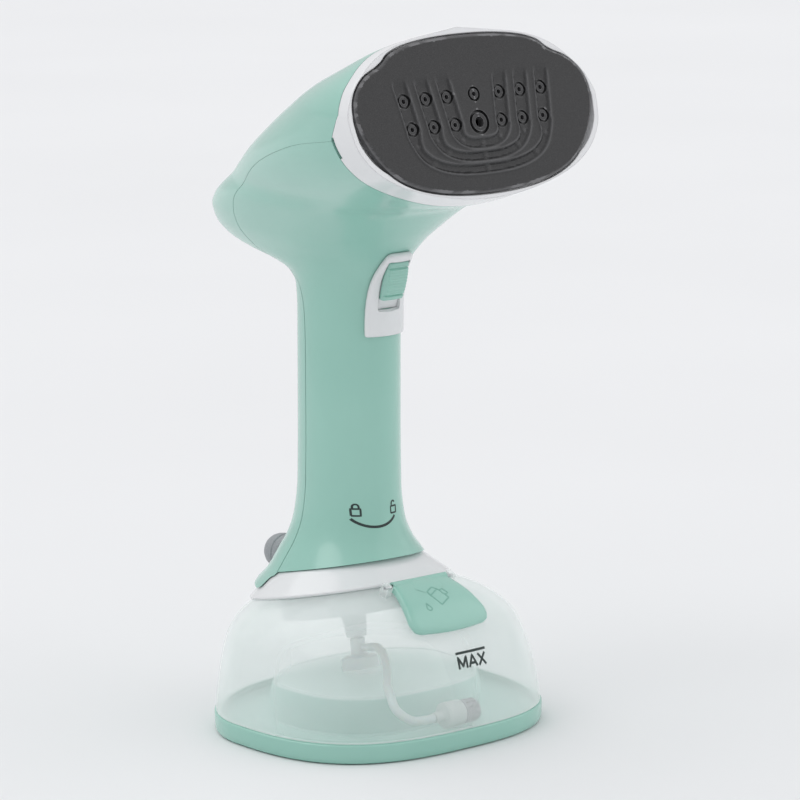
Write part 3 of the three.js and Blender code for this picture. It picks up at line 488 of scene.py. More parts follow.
# The switch's slot and the opening behind it, in the front shell.
switch_low, switch_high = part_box("switch_plate")
slider_lean = 15
slider_frame = tilted(90 + slider_lean, (0, -29 * MM, grip_top + 7.4 * MM))
slider_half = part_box("switch_slider")[1].x
slider_length, slider_travel = 16.5 * MM, 4.5 * MM
slot_end_room, slot_side_room, slot_floor = 1 * MM, 0.45 * MM, -2.6 * MM
slot_length = slider_length + slider_travel + slot_end_room
slot_middle = (slider_length + slot_end_room - slot_length) / 2
stem_length, stem_end_room, stem_slot_half = 5 * MM, 3 * MM, 3 * MM


def box_outline(half_x, half_y, middle_y=0.0, corner=0.8 * MM):
    """A rectangle with rounded corners."""
    outline = []
    for quarter, (sx, sy) in enumerate([(1, 1), (-1, 1), (-1, -1), (1, -1)]):
        for step in range(5):
            angle = math.pi / 2 * (quarter + step / 4)
            outline.append((sx * (half_x - corner) + corner * math.cos(angle),
                            middle_y + sy * (half_y - corner) + corner * math.sin(angle)))
    return outline


def slot_cutter(name):
    """The slot that the slider runs in."""
    outline = box_outline(slider_half + slot_side_room, slot_length / 2, slot_middle)
    return cutter_prism(name, outline, slot_floor, slot_floor + 0.012, slider_frame)


def stem_cutter(name):
    """The narrower slot that the slider's stem passes through."""
    half_length = (stem_length + stem_end_room) / 2 + slider_travel / 2
    outline = box_outline(stem_slot_half, half_length, -slider_travel / 2)
    return cutter_prism(name, outline, -0.012, 0.012, slider_frame)


combine(front_shell, slot_cutter("slot"))
combine(front_shell, stem_cutter("stem_slot"))
for piece, node in ((back_shell, "back_shell"), (front_shell, "front_shell")):
    smooth_by_angle(piece)
    piece.data.materials.clear()
    piece.data.materials.append(mint_abs)
    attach(piece, "handle")
    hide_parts(node)

# --- Bezel ----------------------------------------------------------------------------------------
# A white ABS frame clipped to the front of both shells. Its lip stands round the steam plate and
# a ledge inside carries the plate's gasket.
plate_half_width = head_half_width - 3.3 * MM
plate_half_height = 31.25 * MM
plate_thickness, plate_proud = 3.2 * MM, 0.6 * MM


def bezier(a, b, c, d, steps):
    """Points along a cubic curve, without its last one."""
    line = []
    for i in range(steps):
        t = i / steps
        line.append(tuple(
            p * (1 - t) ** 3 + 3 * q * t * (1 - t) ** 2 + 3 * r * t * t * (1 - t) + s * t ** 3
            for p, q, r, s in zip(a, b, c, d)
        ))
    return line


def plate_outline(inset, steps=14):
    """The plate's outline, with its shoulders, anticlockwise from the middle of the bottom."""
    w, h = plate_half_width - inset, plate_half_height - inset
    corners = [
        [(0, -1), (0.35, -1), (0.62, -0.9), (0.77, -0.68)],
        [(0.77, -0.68), (0.89, -0.5), (1, -0.12), (1, 0.1)],
        [(1, 0.1), (1, 0.28), (0.97, 0.42), (0.88, 0.56)],
        [(0.88, 0.56), (0.8, 0.68), (0.73, 0.66), (0.66, 0.8)],
        [(0.66, 0.8), (0.58, 0.94), (0.3, 1), (0, 1)],
    ]
    side = [p for curve in corners for p in bezier(*curve, steps)] + [(0, 1)]
    whole = side + [(-x, y) for x, y in reversed(side[1:-1])]
    return [(x * w, y * h) for x, y in whole]


gasket_room, ledge_thickness, window_inset, seat_room = 1.2 * MM, 1.8 * MM, 8 * MM, 0.8 * MM
ledge_front = plate_proud - plate_thickness - gasket_room
bezel = duplicate(body_skin, "face_bezel")
combine(bezel, bezel_zone("bezel_region", 0), "INTERSECT")
combine(bezel, cutter_prism("before_face", everything, -gap, beyond, face_frame))
core_here = duplicate(body_core, "bezel_hollow")
combine(core_here, cutter_prism(
    "ledge_zone", everything, ledge_front - ledge_thickness, ledge_front, face_frame
))
combine(bezel, core_here)
combine(bezel, cutter_prism("window", plate_outline(window_inset), -0.04, 0.01, face_frame))
combine(bezel, cutter_prism("plate_seat", plate_outline(-seat_room), ledge_front, 0.01, face_frame))
# A clip of each shell shows in a notch of the bezel's rear edge.
notch_out, notch_below, notch_back, notch_front = 62 * MM, -5.6 * MM, -16 * MM, -12.1 * MM
for side in (-1, 1):
    notch = [(x + side * notch_out, y)
             for x, y in box_outline(6 * MM, 4.2 * MM, notch_below, 0.4 * MM)]
    combine(bezel, cutter_prism("clip_notch", notch, notch_back, notch_front, face_frame))

# White ABS from a polished tool: brighter and glossier than the mint. Flow marks about 45 mm long
# and ripples of about 1.1 mm barely show.
white_abs, tree, shader = new_material(
    "white_moulded_abs", Roughness=0.22, IOR=1.53, Coat_Weight=0.3, Coat_Roughness=0.08,
)
place, *_ = drifting_colour(tree, shader, "#E3E4E6", "#E8E9EA", 22.0)
peel = add_node(tree, "ShaderNodeTexNoise", {"Vector": place, "Scale": 900.0, "Detail": 1.0})
# Moulded edges have a radius of about 0.7 mm.
edge = add_node(tree, "ShaderNodeBevel", {"Radius": 0.0007}, samples=4)
bump = add_node(tree, "ShaderNodeBump", {
    "Height": peel.outputs["Fac"], "Strength": 0.02, "Distance": 0.0002,
    "Normal": edge.outputs["Normal"],
})
tree.links.new(bump.outputs["Normal"], shader.inputs["Normal"])


def finish_piece(piece, material, body, slot, *replaced, degrees=32):
    """Shades a piece, gives it its material and ties it to its body."""
    smooth_by_angle(piece, degrees)
    piece.data.materials.clear()
    piece.data.materials.append(material)
    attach(piece, body)
    if replaced:
        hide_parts(*replaced)


finish_piece(bezel, white_abs, "handle", "white_plastic", "head_bezel")

# --- Steam plate ----------------------------------------------------------------------------------
# Die-cast aluminium with a charcoal non-stick ceramic coat. Three nested channels are cast in its
# face round the steam holes, each hole sits in a turned ring, and the rim is bevelled.
hole_pitch = 11 * MM
upper_row, lower_row = 7.6 * MM, -3.6 * MM
hole_places = [(x * hole_pitch, upper_row) for x in (-3.2, -2.2, -1.22, 0, 1.22, 2.2, 3.2)]
hole_places += [(x * hole_pitch, lower_row) for x in (-3.06, -2.07, -1.08, 1.08, 2.07, 3.06)]
# Each channel: half width between its arms at the lower row, and the height of its bottom.
channels = [(33.8 * MM, -21.8 * MM), (22.9 * MM, -16.9 * MM), (12.0 * MM, -12.0 * MM)]
channel_half, channel_depth, channel_top = 3.4 * MM, 0.75 * MM, 17 * MM
channel_flank, channel_fade, channel_narrowing = 1.2 * MM, 6 * MM, 1.5 * MM
ridge_width, ridge_height = 0.6 * MM, 0.32 * MM
# Below bend_start a channel is a superellipse; its arms lean out by arm_lean above it.
bend_start, bend_fullness, arm_lean = -5 * MM, 2.6, 0.14


def channel_distance(x, y, arm, bottom):
    """How far a point of the face is from the middle line of a channel."""
    if y > bend_start:
        return abs(abs(x) - arm - arm_lean * (y - lower_row))
    deep = bend_start - bottom
    u, v = abs(x) / arm, (bend_start - y) / deep
    size = (u ** bend_fullness + v ** bend_fullness) ** (1 / bend_fullness)
    if size == 0:
        return deep
    power = bend_fullness - 1
    slope = math.hypot((u / size) ** power / arm, (v / size) ** power / deep)
    return abs(size - 1) / slope


def ease(value, low, high):
    """0 below low, 1 above high, and an S between."""
    t = min(max((value - low) / (high - low), 0), 1)
    return t * t * (3 - 2 * t)


# Small round dots stand in the bottoms of the channels.
dimples = []
for index, (arm, bottom) in enumerate(channels):
    deep = bend_start - bottom
    for turn in ((14, 44, 90, 136, 166) if index < 2 else (40, 90, 140)):
        c, s = math.cos(math.radians(turn)), math.sin(math.radians(turn))
        dimples.append((
            arm * math.copysign(abs(c) ** (2 / bend_fullness), c),
            bend_start - deep * s ** (2 / bend_fullness),
        ))
dimple_radius, dimple_height = 1.7 * MM, 0.45 * MM


def plate_relief(x, y):
    """Height of the cast face over its plane."""
    height = 0.0
    fade = 1 - ease(y, channel_top - channel_fade, channel_top)
    half = channel_half - channel_narrowing * (1 - ease(y, -13 * MM, -4 * MM))
    for arm, bottom in channels:
        away = channel_distance(x, y, arm, bottom)
        height -= channel_depth * fade * (1 - ease(away, half - channel_flank, half))
        ridge = math.exp(-(((away - half - 0.3 * MM) / ridge_width) ** 2))
        height += ridge_height * fade * ridge
    for dx, dy in dimples:
        away = math.hypot(x - dx, y - dy)
        if away < dimple_radius:
            height += dimple_height * math.cos(away / dimple_radius * math.pi / 2)
    return height


# The face is a fine grid cut to the plate's outline.
face_cell = 0.5 * MM
grid_margin = 1.05
soleplate = new_grid(
    "steam_plate", round(2 * grid_margin * plate_half_width / face_cell),
    round(2 * grid_margin * plate_half_height / face_cell),
)
for vertex in soleplate.data.vertices:
    x = vertex.co.x * grid_margin * plate_half_width
    y = vertex.co.y * grid_margin * plate_half_height
    vertex.co = (x, y, plate_proud + plate_relief(x, y))
push_all((0, 0, -plate_thickness))
soleplate.data.transform(face_frame)
bevel_width = 1.0 * MM
blank_outline = plate_outline(0)
blank = cutter_prism("plate_blank", blank_outline, plate_proud - plate_thickness, 0.004, face_frame)
combine(soleplate, blank, "INTERSECT")
# The bevel: a loft of the outline cuts the rim at 45 degrees.
rim_rings = [plate_outline(0.02 * MM), plate_outline(0.02 * MM), plate_outline(bevel_width),
             plate_outline(bevel_width)]
rim_heights = [plate_proud - plate_thickness - 0.5 * MM, plate_proud - bevel_width * 0.75,
               plate_proud, plate_proud + 2 * MM]
rim = skin_tube(
    "rim_bevel",
    lambda a, s: Vector((
        *rim_rings[round(s * 3)][round(a / (2 * math.pi) * len(blank_outline)) % len(blank_outline)],
        rim_heights[round(s * 3)],
    )),
    len(blank_outline), 3,
)
rim.data.transform(face_frame)
combine(soleplate, rim, "INTERSECT")

# Each hole is drilled through and has a groove turned round it; the one in the middle is bigger.
# Millimetres: hole radius, groove's inner and outer radius.
small_hole, big_hole, groove_depth = (0.95, 2.1, 3.0), (2.1, 3.7, 4.9), 0.75 * MM
groove_floor = plate_proud - channel_depth - groove_depth
drills = []
for x, y in [*hole_places, (0, lower_row)]:
    middle = face_frame @ Matrix.Translation((x, y, 0))
    hole, groove_in, groove_out = big_hole if (x, y) == (0, lower_row) else small_hole
    drills.append(round_bar("steam_hole", hole * MM, -0.01, 0.005, 32, middle))
    drills.append(turned("hole_ring", [
        (groove_in * MM, groove_floor), (groove_out * MM, groove_floor),
        (groove_out * MM, 0.005), (groove_in * MM, 0.005),
    ], 40, middle))


def joined(pieces):
    """Several pieces as one."""
    bpy.ops.object.select_all(action="DESELECT")
    for piece in pieces:
        piece.select_set(True)
    bpy.context.view_layer.objects.active = pieces[0]
    bpy.ops.object.join()
    return pieces[0]


combine(soleplate, joined(drills))

# The coat is satin charcoal, with fine silvery flecks about 0.4 mm apart.
ceramic_coat, tree, shader = new_material(
    "charcoal_ceramic_coat", Roughness=0.33, Metallic=0.3, IOR=1.55,
)
_, fleck, charcoal = drifting_colour(
    tree, shader, "#29292A", "#39393A", 2600.0, dark_to=0.4, light_from=0.72
)
# Painted highlight and shade: the ridges and the rim are painted lighter grey, so the grooves stay dark.
form = add_node(tree, "ShaderNodeNewGeometry")
ridge_highlight_mask = add_node(tree, "ShaderNodeMapRange", {
    "Value": form.outputs["Pointiness"], "From Min": 0.508, "From Max": 0.60, "To Max": 0.6,
})
painted_ridge_highlight = add_node(tree, "ShaderNodeMixRGB", {
    "Fac": ridge_highlight_mask.outputs["Result"], "Color1": charcoal, "Color2": colour("#8E8E90"),
})
tree.links.new(painted_ridge_highlight.outputs["Color"], shader.inputs["Base Color"])
bump = add_node(tree, "ShaderNodeBump", {
    "Height": fleck, "Strength": 0.06, "Distance": 0.0001,
})
tree.links.new(bump.outputs["Normal"], shader.inputs["Normal"])
finish_piece(soleplate, ceramic_coat, "handle", "charcoal_plate", "soleplate", degrees=25)

# --- Switch ---------------------------------------------------------------------------------------
# A white ABS frame snapped on the front of the grip round the slot, and a mint slider with ribs
# for the thumb. The slider's stem carries a grey carrier that works the micro switch.


def front_surface(x, z, out=0.0):
    """The point of the body's front at x and z, stood off by a distance."""
    half, middle, front = body_half_width(z), body_middle(z), body_front(z)
    rise = math.sqrt(max(1 - (x / half) ** 2, 0))
    y = middle + (front - middle) * rise
    step = 0.2 * MM
    half_up, middle_up, front_up = (f(z + step) for f in (body_half_width, body_middle, body_front))
    y_up = middle_up + (front_up - middle_up) * math.sqrt(max(1 - (x / half_up) ** 2, 0))
    side = (front - middle) * (-x / half ** 2) / max(rise, 0.05)
    normal = Vector((side, -1, (y_up - y) / step)).normalized()
    return Vector((x, y, z)) + out * normal


def switch_outline(inset, steps=8):
    """The frame's outline: straight foot, sides that lean in, a narrower rounded top."""
    half = switch_high.x - 0.9 * MM - inset
    foot, top = switch_low.z + inset, switch_high.z - inset
    tall = top - foot
    right = bezier((0, foot), (half * 0.4, foot), (half * 0.75, foot), (half * 0.78, foot), steps)
    right += bezier((half * 0.78, foot), (half, foot), (half, foot), (half, foot + 3 * MM), steps)
    right += bezier((half, foot + 3 * MM), (half, foot + tall * 0.4),
                    (half * 0.92, foot + tall * 0.68), (half * 0.68, top - 1.5 * MM), steps)
    right += bezier((half * 0.68, top - 1.5 * MM), (half * 0.62, top), (half * 0.5, top),
                    (half * 0.42, top), steps)
    right += bezier((half * 0.42, top), (half * 0.3, top), (half * 0.1, top), (0, top), steps)
    return right + [(0, top)] + [(-x, z) for x, z in reversed(right[1:])]


# From the back edge, up the side, over the rounded shoulder and in to the middle:
# [inset, height over the grip].
frame_profile = [(6.5, 0.35), (4.0, 0.35), (2.0, 0.35), (0.05, 0.35), (0, 0.9), (0.02, 1.5),
                 (0.25, 2.05), (0.7, 2.42), (1.3, 2.58), (2.2, 2.6), (4.0, 2.6), (6.5, 2.6)]
rings = [(switch_outline(inset * MM), height * MM) for inset, height in frame_profile]
frame_around = len(rings[0][0])


def frame_point(angle, share):
    step = round(share * (len(rings) + 1))
    i = round(angle / (2 * math.pi) * frame_around) % frame_around
    outline, out = rings[min(max(step - 1, 0), len(rings) - 1)]
    if step in (0, len(rings) + 1):
        return front_surface(0, (switch_low.z + switch_high.z) / 2, out)
    return front_surface(*outline[i], out)


switch_frame = skin_tube("switch_frame", frame_point, frame_around, len(rings) + 1)
combine(switch_frame, slot_cutter("slot"))
combine(switch_frame, stem_cutter("stem_slot"))
finish_piece(switch_frame, white_abs, "handle", "white_plastic", "switch_plate", degrees=30)

# A thin white liner is the floor of the slot.
slot_liner = cutter_prism(
    "slot_liner", box_outline(slider_half + 0.35 * MM, slot_length / 2 - 0.1 * MM, slot_middle),
    slot_floor + 0.05 * MM, slot_floor + 0.65 * MM, slider_frame,
)
combine(slot_liner, stem_cutter("stem_slot"))
finish_piece(slot_liner, white_abs, "handle", "white_plastic")

# The slider: a rounded bar, crowned along its length, with rows of fine ribs and two deep
# grooves where the thumb catches.
slider_foot = slot_floor + 1.2 * MM
slider_rise = 4.1 * MM
rib_pitch, rib_height, groove_at = 1.3 * MM, 0.26 * MM, 0.72
crown_along, crown_across, thumb_groove = 0.9 * MM, 0.35 * MM, 0.55 * MM


def slider_top(u, v):
    """Height of the slider's top at u across and v along, each from -1 to 1."""
    crown = slider_rise - crown_along * v * v - crown_across * u * u
    along = v * slider_length / 2
    rib = rib_height * (0.5 + 0.5 * math.cos(2 * math.pi * along / rib_pitch))
    rib *= 1 - ease(abs(v), 0.82, 0.9)
    dips = (math.exp(-(((v - middle) / 0.045) ** 2)) for middle in (-groove_at, groove_at))
    return crown + rib - thumb_groove * sum(dips) - rib_height


slider = new_grid("thumb_slider", 28, 150)
edge_round = 0.7 * MM
for vertex in slider.data.vertices:
    u, v = vertex.co.x, vertex.co.y
    drop = 0.0
    for reach, length in ((abs(u) * slider_half, slider_half),
                          (abs(v) * slider_length / 2, slider_length / 2)):
        near = max(reach - (length - edge_round), 0)
        drop += edge_round - math.sqrt(max(edge_round ** 2 - near ** 2, 0))
    vertex.co = (u * slider_half, v * slider_length / 2,
                 slider_foot + slider_top(u, v) - drop)
bpy.ops.object.mode_set(mode="EDIT")
bpy.ops.mesh.select_all(action="SELECT")
bpy.ops.mesh.extrude_region_move(TRANSFORM_OT_translate={"value": (0, 0, -1 * MM)})
bpy.ops.object.mode_set(mode="OBJECT")
for vertex in slider.data.vertices:
    if vertex.select:
        vertex.co.z = slider_foot
bpy.ops.object.mode_set(mode="EDIT")
turn_faces_out()
slider.data.transform(slider_frame)
stem = cutter_prism("stem", box_outline(2.5 * MM, 2.5 * MM), slider_foot - 6.5 * MM,
                    slider_foot + 0.5 * MM, slider_frame)
combine(slider, stem, "UNION")
finish_piece(slider, mint_abs, "switch", "mint_shell", "switch_slider", degrees=40)

# --- Collar ---------------------------------------------------------------------------------------
# The white ABS collar is welded to the tank's neck. It is a turned cone with a thin lip, tilted
# up at the front, with three pockets inside for the handle's bayonet lugs.
neck_bore = 27.2 * MM
lug_starts = (30, 150, 270)
lug_angle, unlock_angle, pocket_floor = 24, 30, 4.6 * MM
pocket_radius, pocket_margin, neck_wall = 29 * MM, 3, 2.2 * MM
collar = turned("tank_collar", [
    (neck_bore, -10.5 * MM), (neck_bore + neck_wall, -10.5 * MM), (neck_bore + neck_wall, 0),
    (collar_radius - 0.9 * MM, 0), (collar_radius - 0.3 * MM, 0.2 * MM), (collar_radius, 0.7 * MM),
    (collar_radius - 0.15 * MM, 1.25 * MM), (collar_radius - 0.6 * MM, 1.6 * MM),
    (collar_radius - 3.2 * MM, 3.9 * MM), (collar_radius - 6.2 * MM, 6.6 * MM),
    (collar_top_radius + 0.5 * MM, collar_height - 0.5 * MM),
    (collar_top_radius - 0.4 * MM, collar_height), (neck_bore, collar_height),
], 144, collar_frame)


def sector(radius, start, span):
    """A slice of a disc as an outline."""
    angles = [math.radians(start + span * i / 12) for i in range(13)]
    return [(0, 0)] + [(radius * math.cos(a), radius * math.sin(a)) for a in angles]


for start in lug_starts:
    combine(collar, cutter_prism(
        "lug_pocket",
        sector(pocket_radius, start - pocket_margin, unlock_angle + lug_angle + 2 * pocket_margin),
        pocket_floor, collar_height + 5 * MM, collar_frame,
    ))
finish_piece(collar, white_abs, "tank", "white_plastic", "collar", degrees=28)

# --- Tank -----------------------------------------------------------------------------------------
# The tank is blown and trimmed clear copolyester, glued to a moulded clear floor whose middle is
# raised. Its plan is broad and square-shouldered in front and an ellipse behind.
base_half_width, base_front, base_rear, base_middle = 67.5 * MM, 75 * MM, 41 * MM, -9 * MM
base_height, tank_wall = 8 * MM, 2.4 * MM
tank_foot = base_height + gap


def base_point(angle, inset=0.0):
    """The base's outline, drawn in by an inset."""
    c, s = math.cos(angle), math.sin(angle)
    fullness = 2 / 2.8 if s < 0 else 1
    reach = base_front + base_middle if s < 0 else base_rear - base_middle
    return Vector((
        (base_half_width - inset) * math.copysign(abs(c) ** fullness, c),
        base_middle + (reach - inset) * math.copysign(abs(s) ** fullness, s),
        0,
    ))


# The wall leans in a little, then turns over a soft shoulder to the collar:
# (share of the way out from the collar, share of the height).
tank_meridian = rounded_line([
    (1, 0), (0.95, 0.25), (0.85, 0.5), (0.71, 0.72), (0.49, 0.86), (0.25, 0.945), (0, 1),
], 8)


def tank_point(angle, share, inset=0.0):
    low = base_point(angle, 0.6 * MM + inset)
    radius = collar_radius - 0.8 * MM - inset
    high = collar_frame @ Vector((radius * math.cos(angle), radius * math.sin(angle), -gap - inset))
    out, up = tank_meridian[round(share * (len(tank_meridian) - 1))]
    flat = high + (low - high) * out
    return Vector((flat.x, flat.y, tank_foot + (high.z - tank_foot) * up))


tank_levels = len(tank_meridian) - 1
tank_around = 128
tank_skin = skin_tube("tank_skin", tank_point, tank_around, tank_levels)
tank_shell = duplicate(tank_skin, "clear_tank")
combine(tank_shell, skin_tube(
    "tank_hollow", lambda a, s: tank_point(a, s, tank_wall), tank_around, tank_levels
))
combine(tank_shell, cutter_prism(
    "tank_mouth",
    [base_point(2 * math.pi * i / 96, tank_wall + 0.6 * MM).xy for i in range(96)],
    0, tank_foot + 1 * MM,
))
combine(tank_shell, round_bar("neck_hole", neck_bore + 2.6 * MM, -0.04, 0.04, 144, collar_frame))

# The filler cap's own frame: its origin on the hinge pin, y up the slope of the tank.
pin_low, pin_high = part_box("cap_hinge_pin")
cap_pivot = (pin_low + pin_high) / 2
slope_high = tank_point(-math.pi / 2, 1.0)
slope_low = tank_point(-math.pi / 2, 0.62)
slope_lean = math.atan2(slope_high.z - slope_low.z, slope_high.y - slope_low.y)
cap_frame = Matrix.Translation(cap_pivot) @ Matrix.Rotation(slope_lean, 4, "X")
filler_radius = 9.5 * MM
filler_frame = cap_frame @ Matrix.Translation((0, -13.4 * MM, 0))
combine(tank_shell, round_bar("filler_hole", filler_radius, -0.014, 0.008, 64, filler_frame))
# Two ears on the tank hold the ends of the cap's pin.
ear_half = 1.2 * MM
for side in (-1, 1):
    middle = side * (pin_high.x - ear_half)
    ear = cutter_prism("hinge_ear", box_outline(2.2 * MM, 4.5 * MM, -3 * MM),
                       middle - ear_half, middle + ear_half, cap_frame @ upright)
    combine(tank_shell, ear, "UNION")

# Clear copolyester: nearly invisible face on, greyer and brighter where the wall is seen edge on.
# Blowing leaves soft ripples about 33 mm long.
# A faint painted glow in the plastic's own pale colour brightens the whole wall.
clear_copolyester, tree, shader = new_material(
    "clear_copolyester", Roughness=0.06, IOR=1.45, Emission_Strength=0.07,
    Emission_Color=colour("#E6EFEE"),
)
_, ripple, _ = drifting_colour(tree, shader, "#EFF5F4", "#F5F9F8", 30.0, 1.0)
bump = add_node(tree, "ShaderNodeBump", {"Height": ripple, "Strength": 0.05, "Distance": 0.001})
tree.links.new(bump.outputs["Normal"], shader.inputs["Normal"])
edge_on = add_node(tree, "ShaderNodeLayerWeight", {"Blend": 0.35})
cover = add_node(tree, "ShaderNodeMapRange", {
    "Value": edge_on.outputs["Facing"], "To Min": 0.2, "To Max": 0.62,
})
tree.links.new(cover.outputs["Result"], shader.inputs["Alpha"])

# The floor: a clear plate with its middle raised on sloping sides, and a well for the column.
floor_rise, plateau_rise, plateau_inset = 5.2 * MM, 20 * MM, 24 * MM
tray_wall, tray_floor = 2.8 * MM, 2.4 * MM


def ring_loft(name, rings_here, around=128):
    """A closed skin through level copies of the base outline: [(inset, height), ...]."""
    last = len(rings_here) - 1

    def point(angle, share):
        inset, height = rings_here[round(share * last)]
        return base_point(angle, inset) + Vector((0, 0, height))
    return skin_tube(name, point, around, last)


def on_axis(height):
    """A level as a distance along the collar's axis."""
    return (height - collar_rise) / math.cos(math.radians(collar_tilt))


well_floor, well_radius, well_wall = on_axis(plateau_rise) - 9 * MM, 8.2 * MM, 1.6 * MM
tank_floor = ring_loft("tank_floor_plate", [
    (tray_wall + 0.5 * MM, tray_floor + gap), (tray_wall + 0.5 * MM, floor_rise),
    (plateau_inset - 3 * MM, floor_rise), (plateau_inset - 2 * MM, floor_rise + 0.7 * MM),
    (plateau_inset - 0.3 * MM, plateau_rise - 2.6 * MM), (plateau_inset, plateau_rise - 1.5 * MM),
    (plateau_inset + 0.5 * MM, plateau_rise - 0.3 * MM),
    (plateau_inset + 1.0 * MM, plateau_rise + 0.3 * MM),
    (plateau_inset + 1.8 * MM, plateau_rise + 0.3 * MM),
    (plateau_inset + 2.4 * MM, plateau_rise - 0.2 * MM),
])
combine(tank_floor, ring_loft("under_plateau", [
    (plateau_inset + 2.6 * MM, 0), (plateau_inset + 2.6 * MM, plateau_rise - 2 * MM),
]))
combine(tank_floor, round_bar(
    "well_wall", well_radius + well_wall, well_floor - well_wall, well_floor + 9 * MM, 64,
    collar_frame,
), "UNION")
combine(tank_floor, round_bar(
    "well", well_radius, well_floor, well_floor + 14 * MM, 64, collar_frame
))

# The floor is the same polymer with a moulded satin face. Its green is painted light, the green of
# the tray seen through it, in flow marks about 40 mm long.
floor_copolyester, tree, shader = new_material(
    "satin_copolyester", Roughness=0.22, IOR=1.45, Alpha=0.42,
)
place, _, painted_tray_green = drifting_colour(tree, shader, "#A6D2C8", "#B9DDD5", 24.0)
# The raised middle, 20 mm up, is near white; the sloping sides and the low floor keep the painted green.
level = add_node(tree, "ShaderNodeSeparateXYZ", {"Vector": place})
near_white_top = add_node(tree, "ShaderNodeMapRange", {
    "Value": level.outputs["Z"], "From Min": 0.0188, "From Max": 0.0196,
})
cast = add_node(tree, "ShaderNodeMixRGB", {
    "Fac": near_white_top.outputs["Result"], "Color1": painted_tray_green, "Color2": colour("#E9F2F0"),
})
tree.links.new(cast.outputs["Color"], shader.inputs["Base Color"])
# A painted glow lifts the plastic a little, standing in for light piped through it; its edges glow more.
rim_glow = add_node(tree, "ShaderNodeLayerWeight", {"Blend": 0.2})
glow = add_node(tree, "ShaderNodeMapRange", {
    "Value": rim_glow.outputs["Facing"], "To Min": 0.10, "To Max": 0.45,
})
tree.links.new(cast.outputs["Color"], shader.inputs["Emission Color"])
tree.links.new(glow.outputs["Result"], shader.inputs["Emission Strength"])
finish_piece(tank_floor, floor_copolyester, "tank", "clear_tank", "tank_floor", degrees=30)

# --- Base cap -------------------------------------------------------------------------------------
# A shallow mint ABS tray, moulded like the shells and glued round the foot of the tank and its
# floor. It has a small radius at its foot and rim, and the steamer stands on its flat underside.
base_cap = ring_loft("base_tray", [
    (2.2 * MM, 0), (1.2 * MM, 0.12 * MM), (0.6 * MM, 0.5 * MM), (0.25 * MM, 1.2 * MM),
    (0.05 * MM, 2.6 * MM), (-0.1 * MM, base_height - 1.2 * MM), (0, base_height - 0.45 * MM),
    (0.35 * MM, base_height - 0.08 * MM), (0.8 * MM, base_height),
])
combine(base_cap, ring_loft("tray_hollow", [
    (tray_wall, tray_floor), (tray_wall, base_height + 5 * MM),
]))
finish_piece(base_cap, mint_abs, "tank", "mint_shell", "base_cap", degrees=30)

# --- Filler cap -----------------------------------------------------------------------------------
# A mint ABS flap on a steel pin at the foot of the collar. It follows the tank's slope, its edge
# is rounded, and a silicone ring under it plugs the filler hole.
cap_top_half, cap_length = 14.5 * MM, 25.5 * MM
cap_half_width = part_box("fill_cap")[1].x


def cap_outline(inset, steps=10):
    """In the cap's frame: a straight hinge edge, flaring sides and a rounded, bowed foot."""
    top, low, foot = cap_top_half - inset, cap_half_width - inset, -cap_length + inset
    right = bezier((0, foot - 0.5 * MM), (low * 0.3, foot - 0.5 * MM),
                   (low * 0.55, foot), (low * 0.68, foot + 0.4 * MM), steps)
    right += bezier((low * 0.68, foot + 0.4 * MM), (low * 0.95, foot + 0.7 * MM),
                    (low * 1.01, foot + 2.2 * MM), (low, foot + 5.6 * MM), steps)
    right += bezier((low, foot + 5.6 * MM), (low * 0.97, foot + 9 * MM),
                    (top + 1.4 * MM, -7 * MM), (top + 0.5 * MM, -4 * MM), steps)
    right += bezier((top + 0.5 * MM, -4 * MM), (top + 0.2 * MM, -2 * MM), (top, -1 * MM),
                    (top, 0.8 * MM - inset), 4)
    right += bezier((top, 0.8 * MM - inset), (top * 0.7, 0.8 * MM - inset),
                    (top * 0.3, 0.8 * MM - inset), (0, 0.8 * MM - inset), 4)
    return right + [(0, 0.8 * MM - inset)] + [(-x, y) for x, y in reversed(right[1:])]


drop_height = 60 * MM


def lay_on(target, place, away, out):
    """Drops a point along -away onto a piece's surface and stands it off from the surface."""
    hit, spot, normal, _ = target.ray_cast(place + drop_height * away, -away)
    return (spot if hit else place) + out * (normal if hit and normal.dot(away) > 0 else away)


cap_away = (cap_frame.to_3x3() @ Vector((0, 0, 1))).normalized()
# From the underside round the edge to the middle of the top: [inset, height over the tank].
cap_profile = [(6, 1.2), (0.8, 1.2), (0.15, 1.5), (0, 2.1), (0.1, 2.9), (0.45, 3.6), (1.1, 4.05),
               (2.0, 4.2), (4.5, 4.2), (8, 4.2)]
cap_rings = [
    [lay_on(tank_skin, cap_frame @ Vector((x, y, 0)), cap_away, height * MM)
     for x, y in cap_outline(inset * MM)]
    for inset, height in cap_profile
]
cap_around, cap_last = len(cap_rings[0]), len(cap_rings) + 1
cap_middle = cap_frame @ Vector((0, -cap_length / 2, 0))


def cap_point(angle, share):
    step = round(share * cap_last)
    if step in (0, cap_last):
        return lay_on(tank_skin, cap_middle, cap_away, (1.2 if step == 0 else 4.2) * MM)
    return cap_rings[step - 1][round(angle / (2 * math.pi) * cap_around) % cap_around]


fill_cap = skin_tube("filler_flap", cap_point, cap_around, cap_last)
pin_frame = Matrix.Translation(cap_pivot) @ Matrix.Rotation(math.radians(90), 4, "Y")
knuckle_half, knuckle_radius, pin_bore_radius = cap_top_half - 0.5 * MM, 1.9 * MM, 1.05 * MM
combine(fill_cap, round_bar(
    "cap_knuckle", knuckle_radius, -knuckle_half, knuckle_half, 40, pin_frame
), "UNION")
combine(fill_cap, round_bar("pin_bore", pin_bore_radius, -0.03, 0.03, 32, pin_frame))
finish_piece(fill_cap, mint_abs, "cap", "mint_shell", "fill_cap", degrees=40)
finish_piece(tank_shell, clear_copolyester, "tank", "clear_tank", "tank_shell", degrees=30)

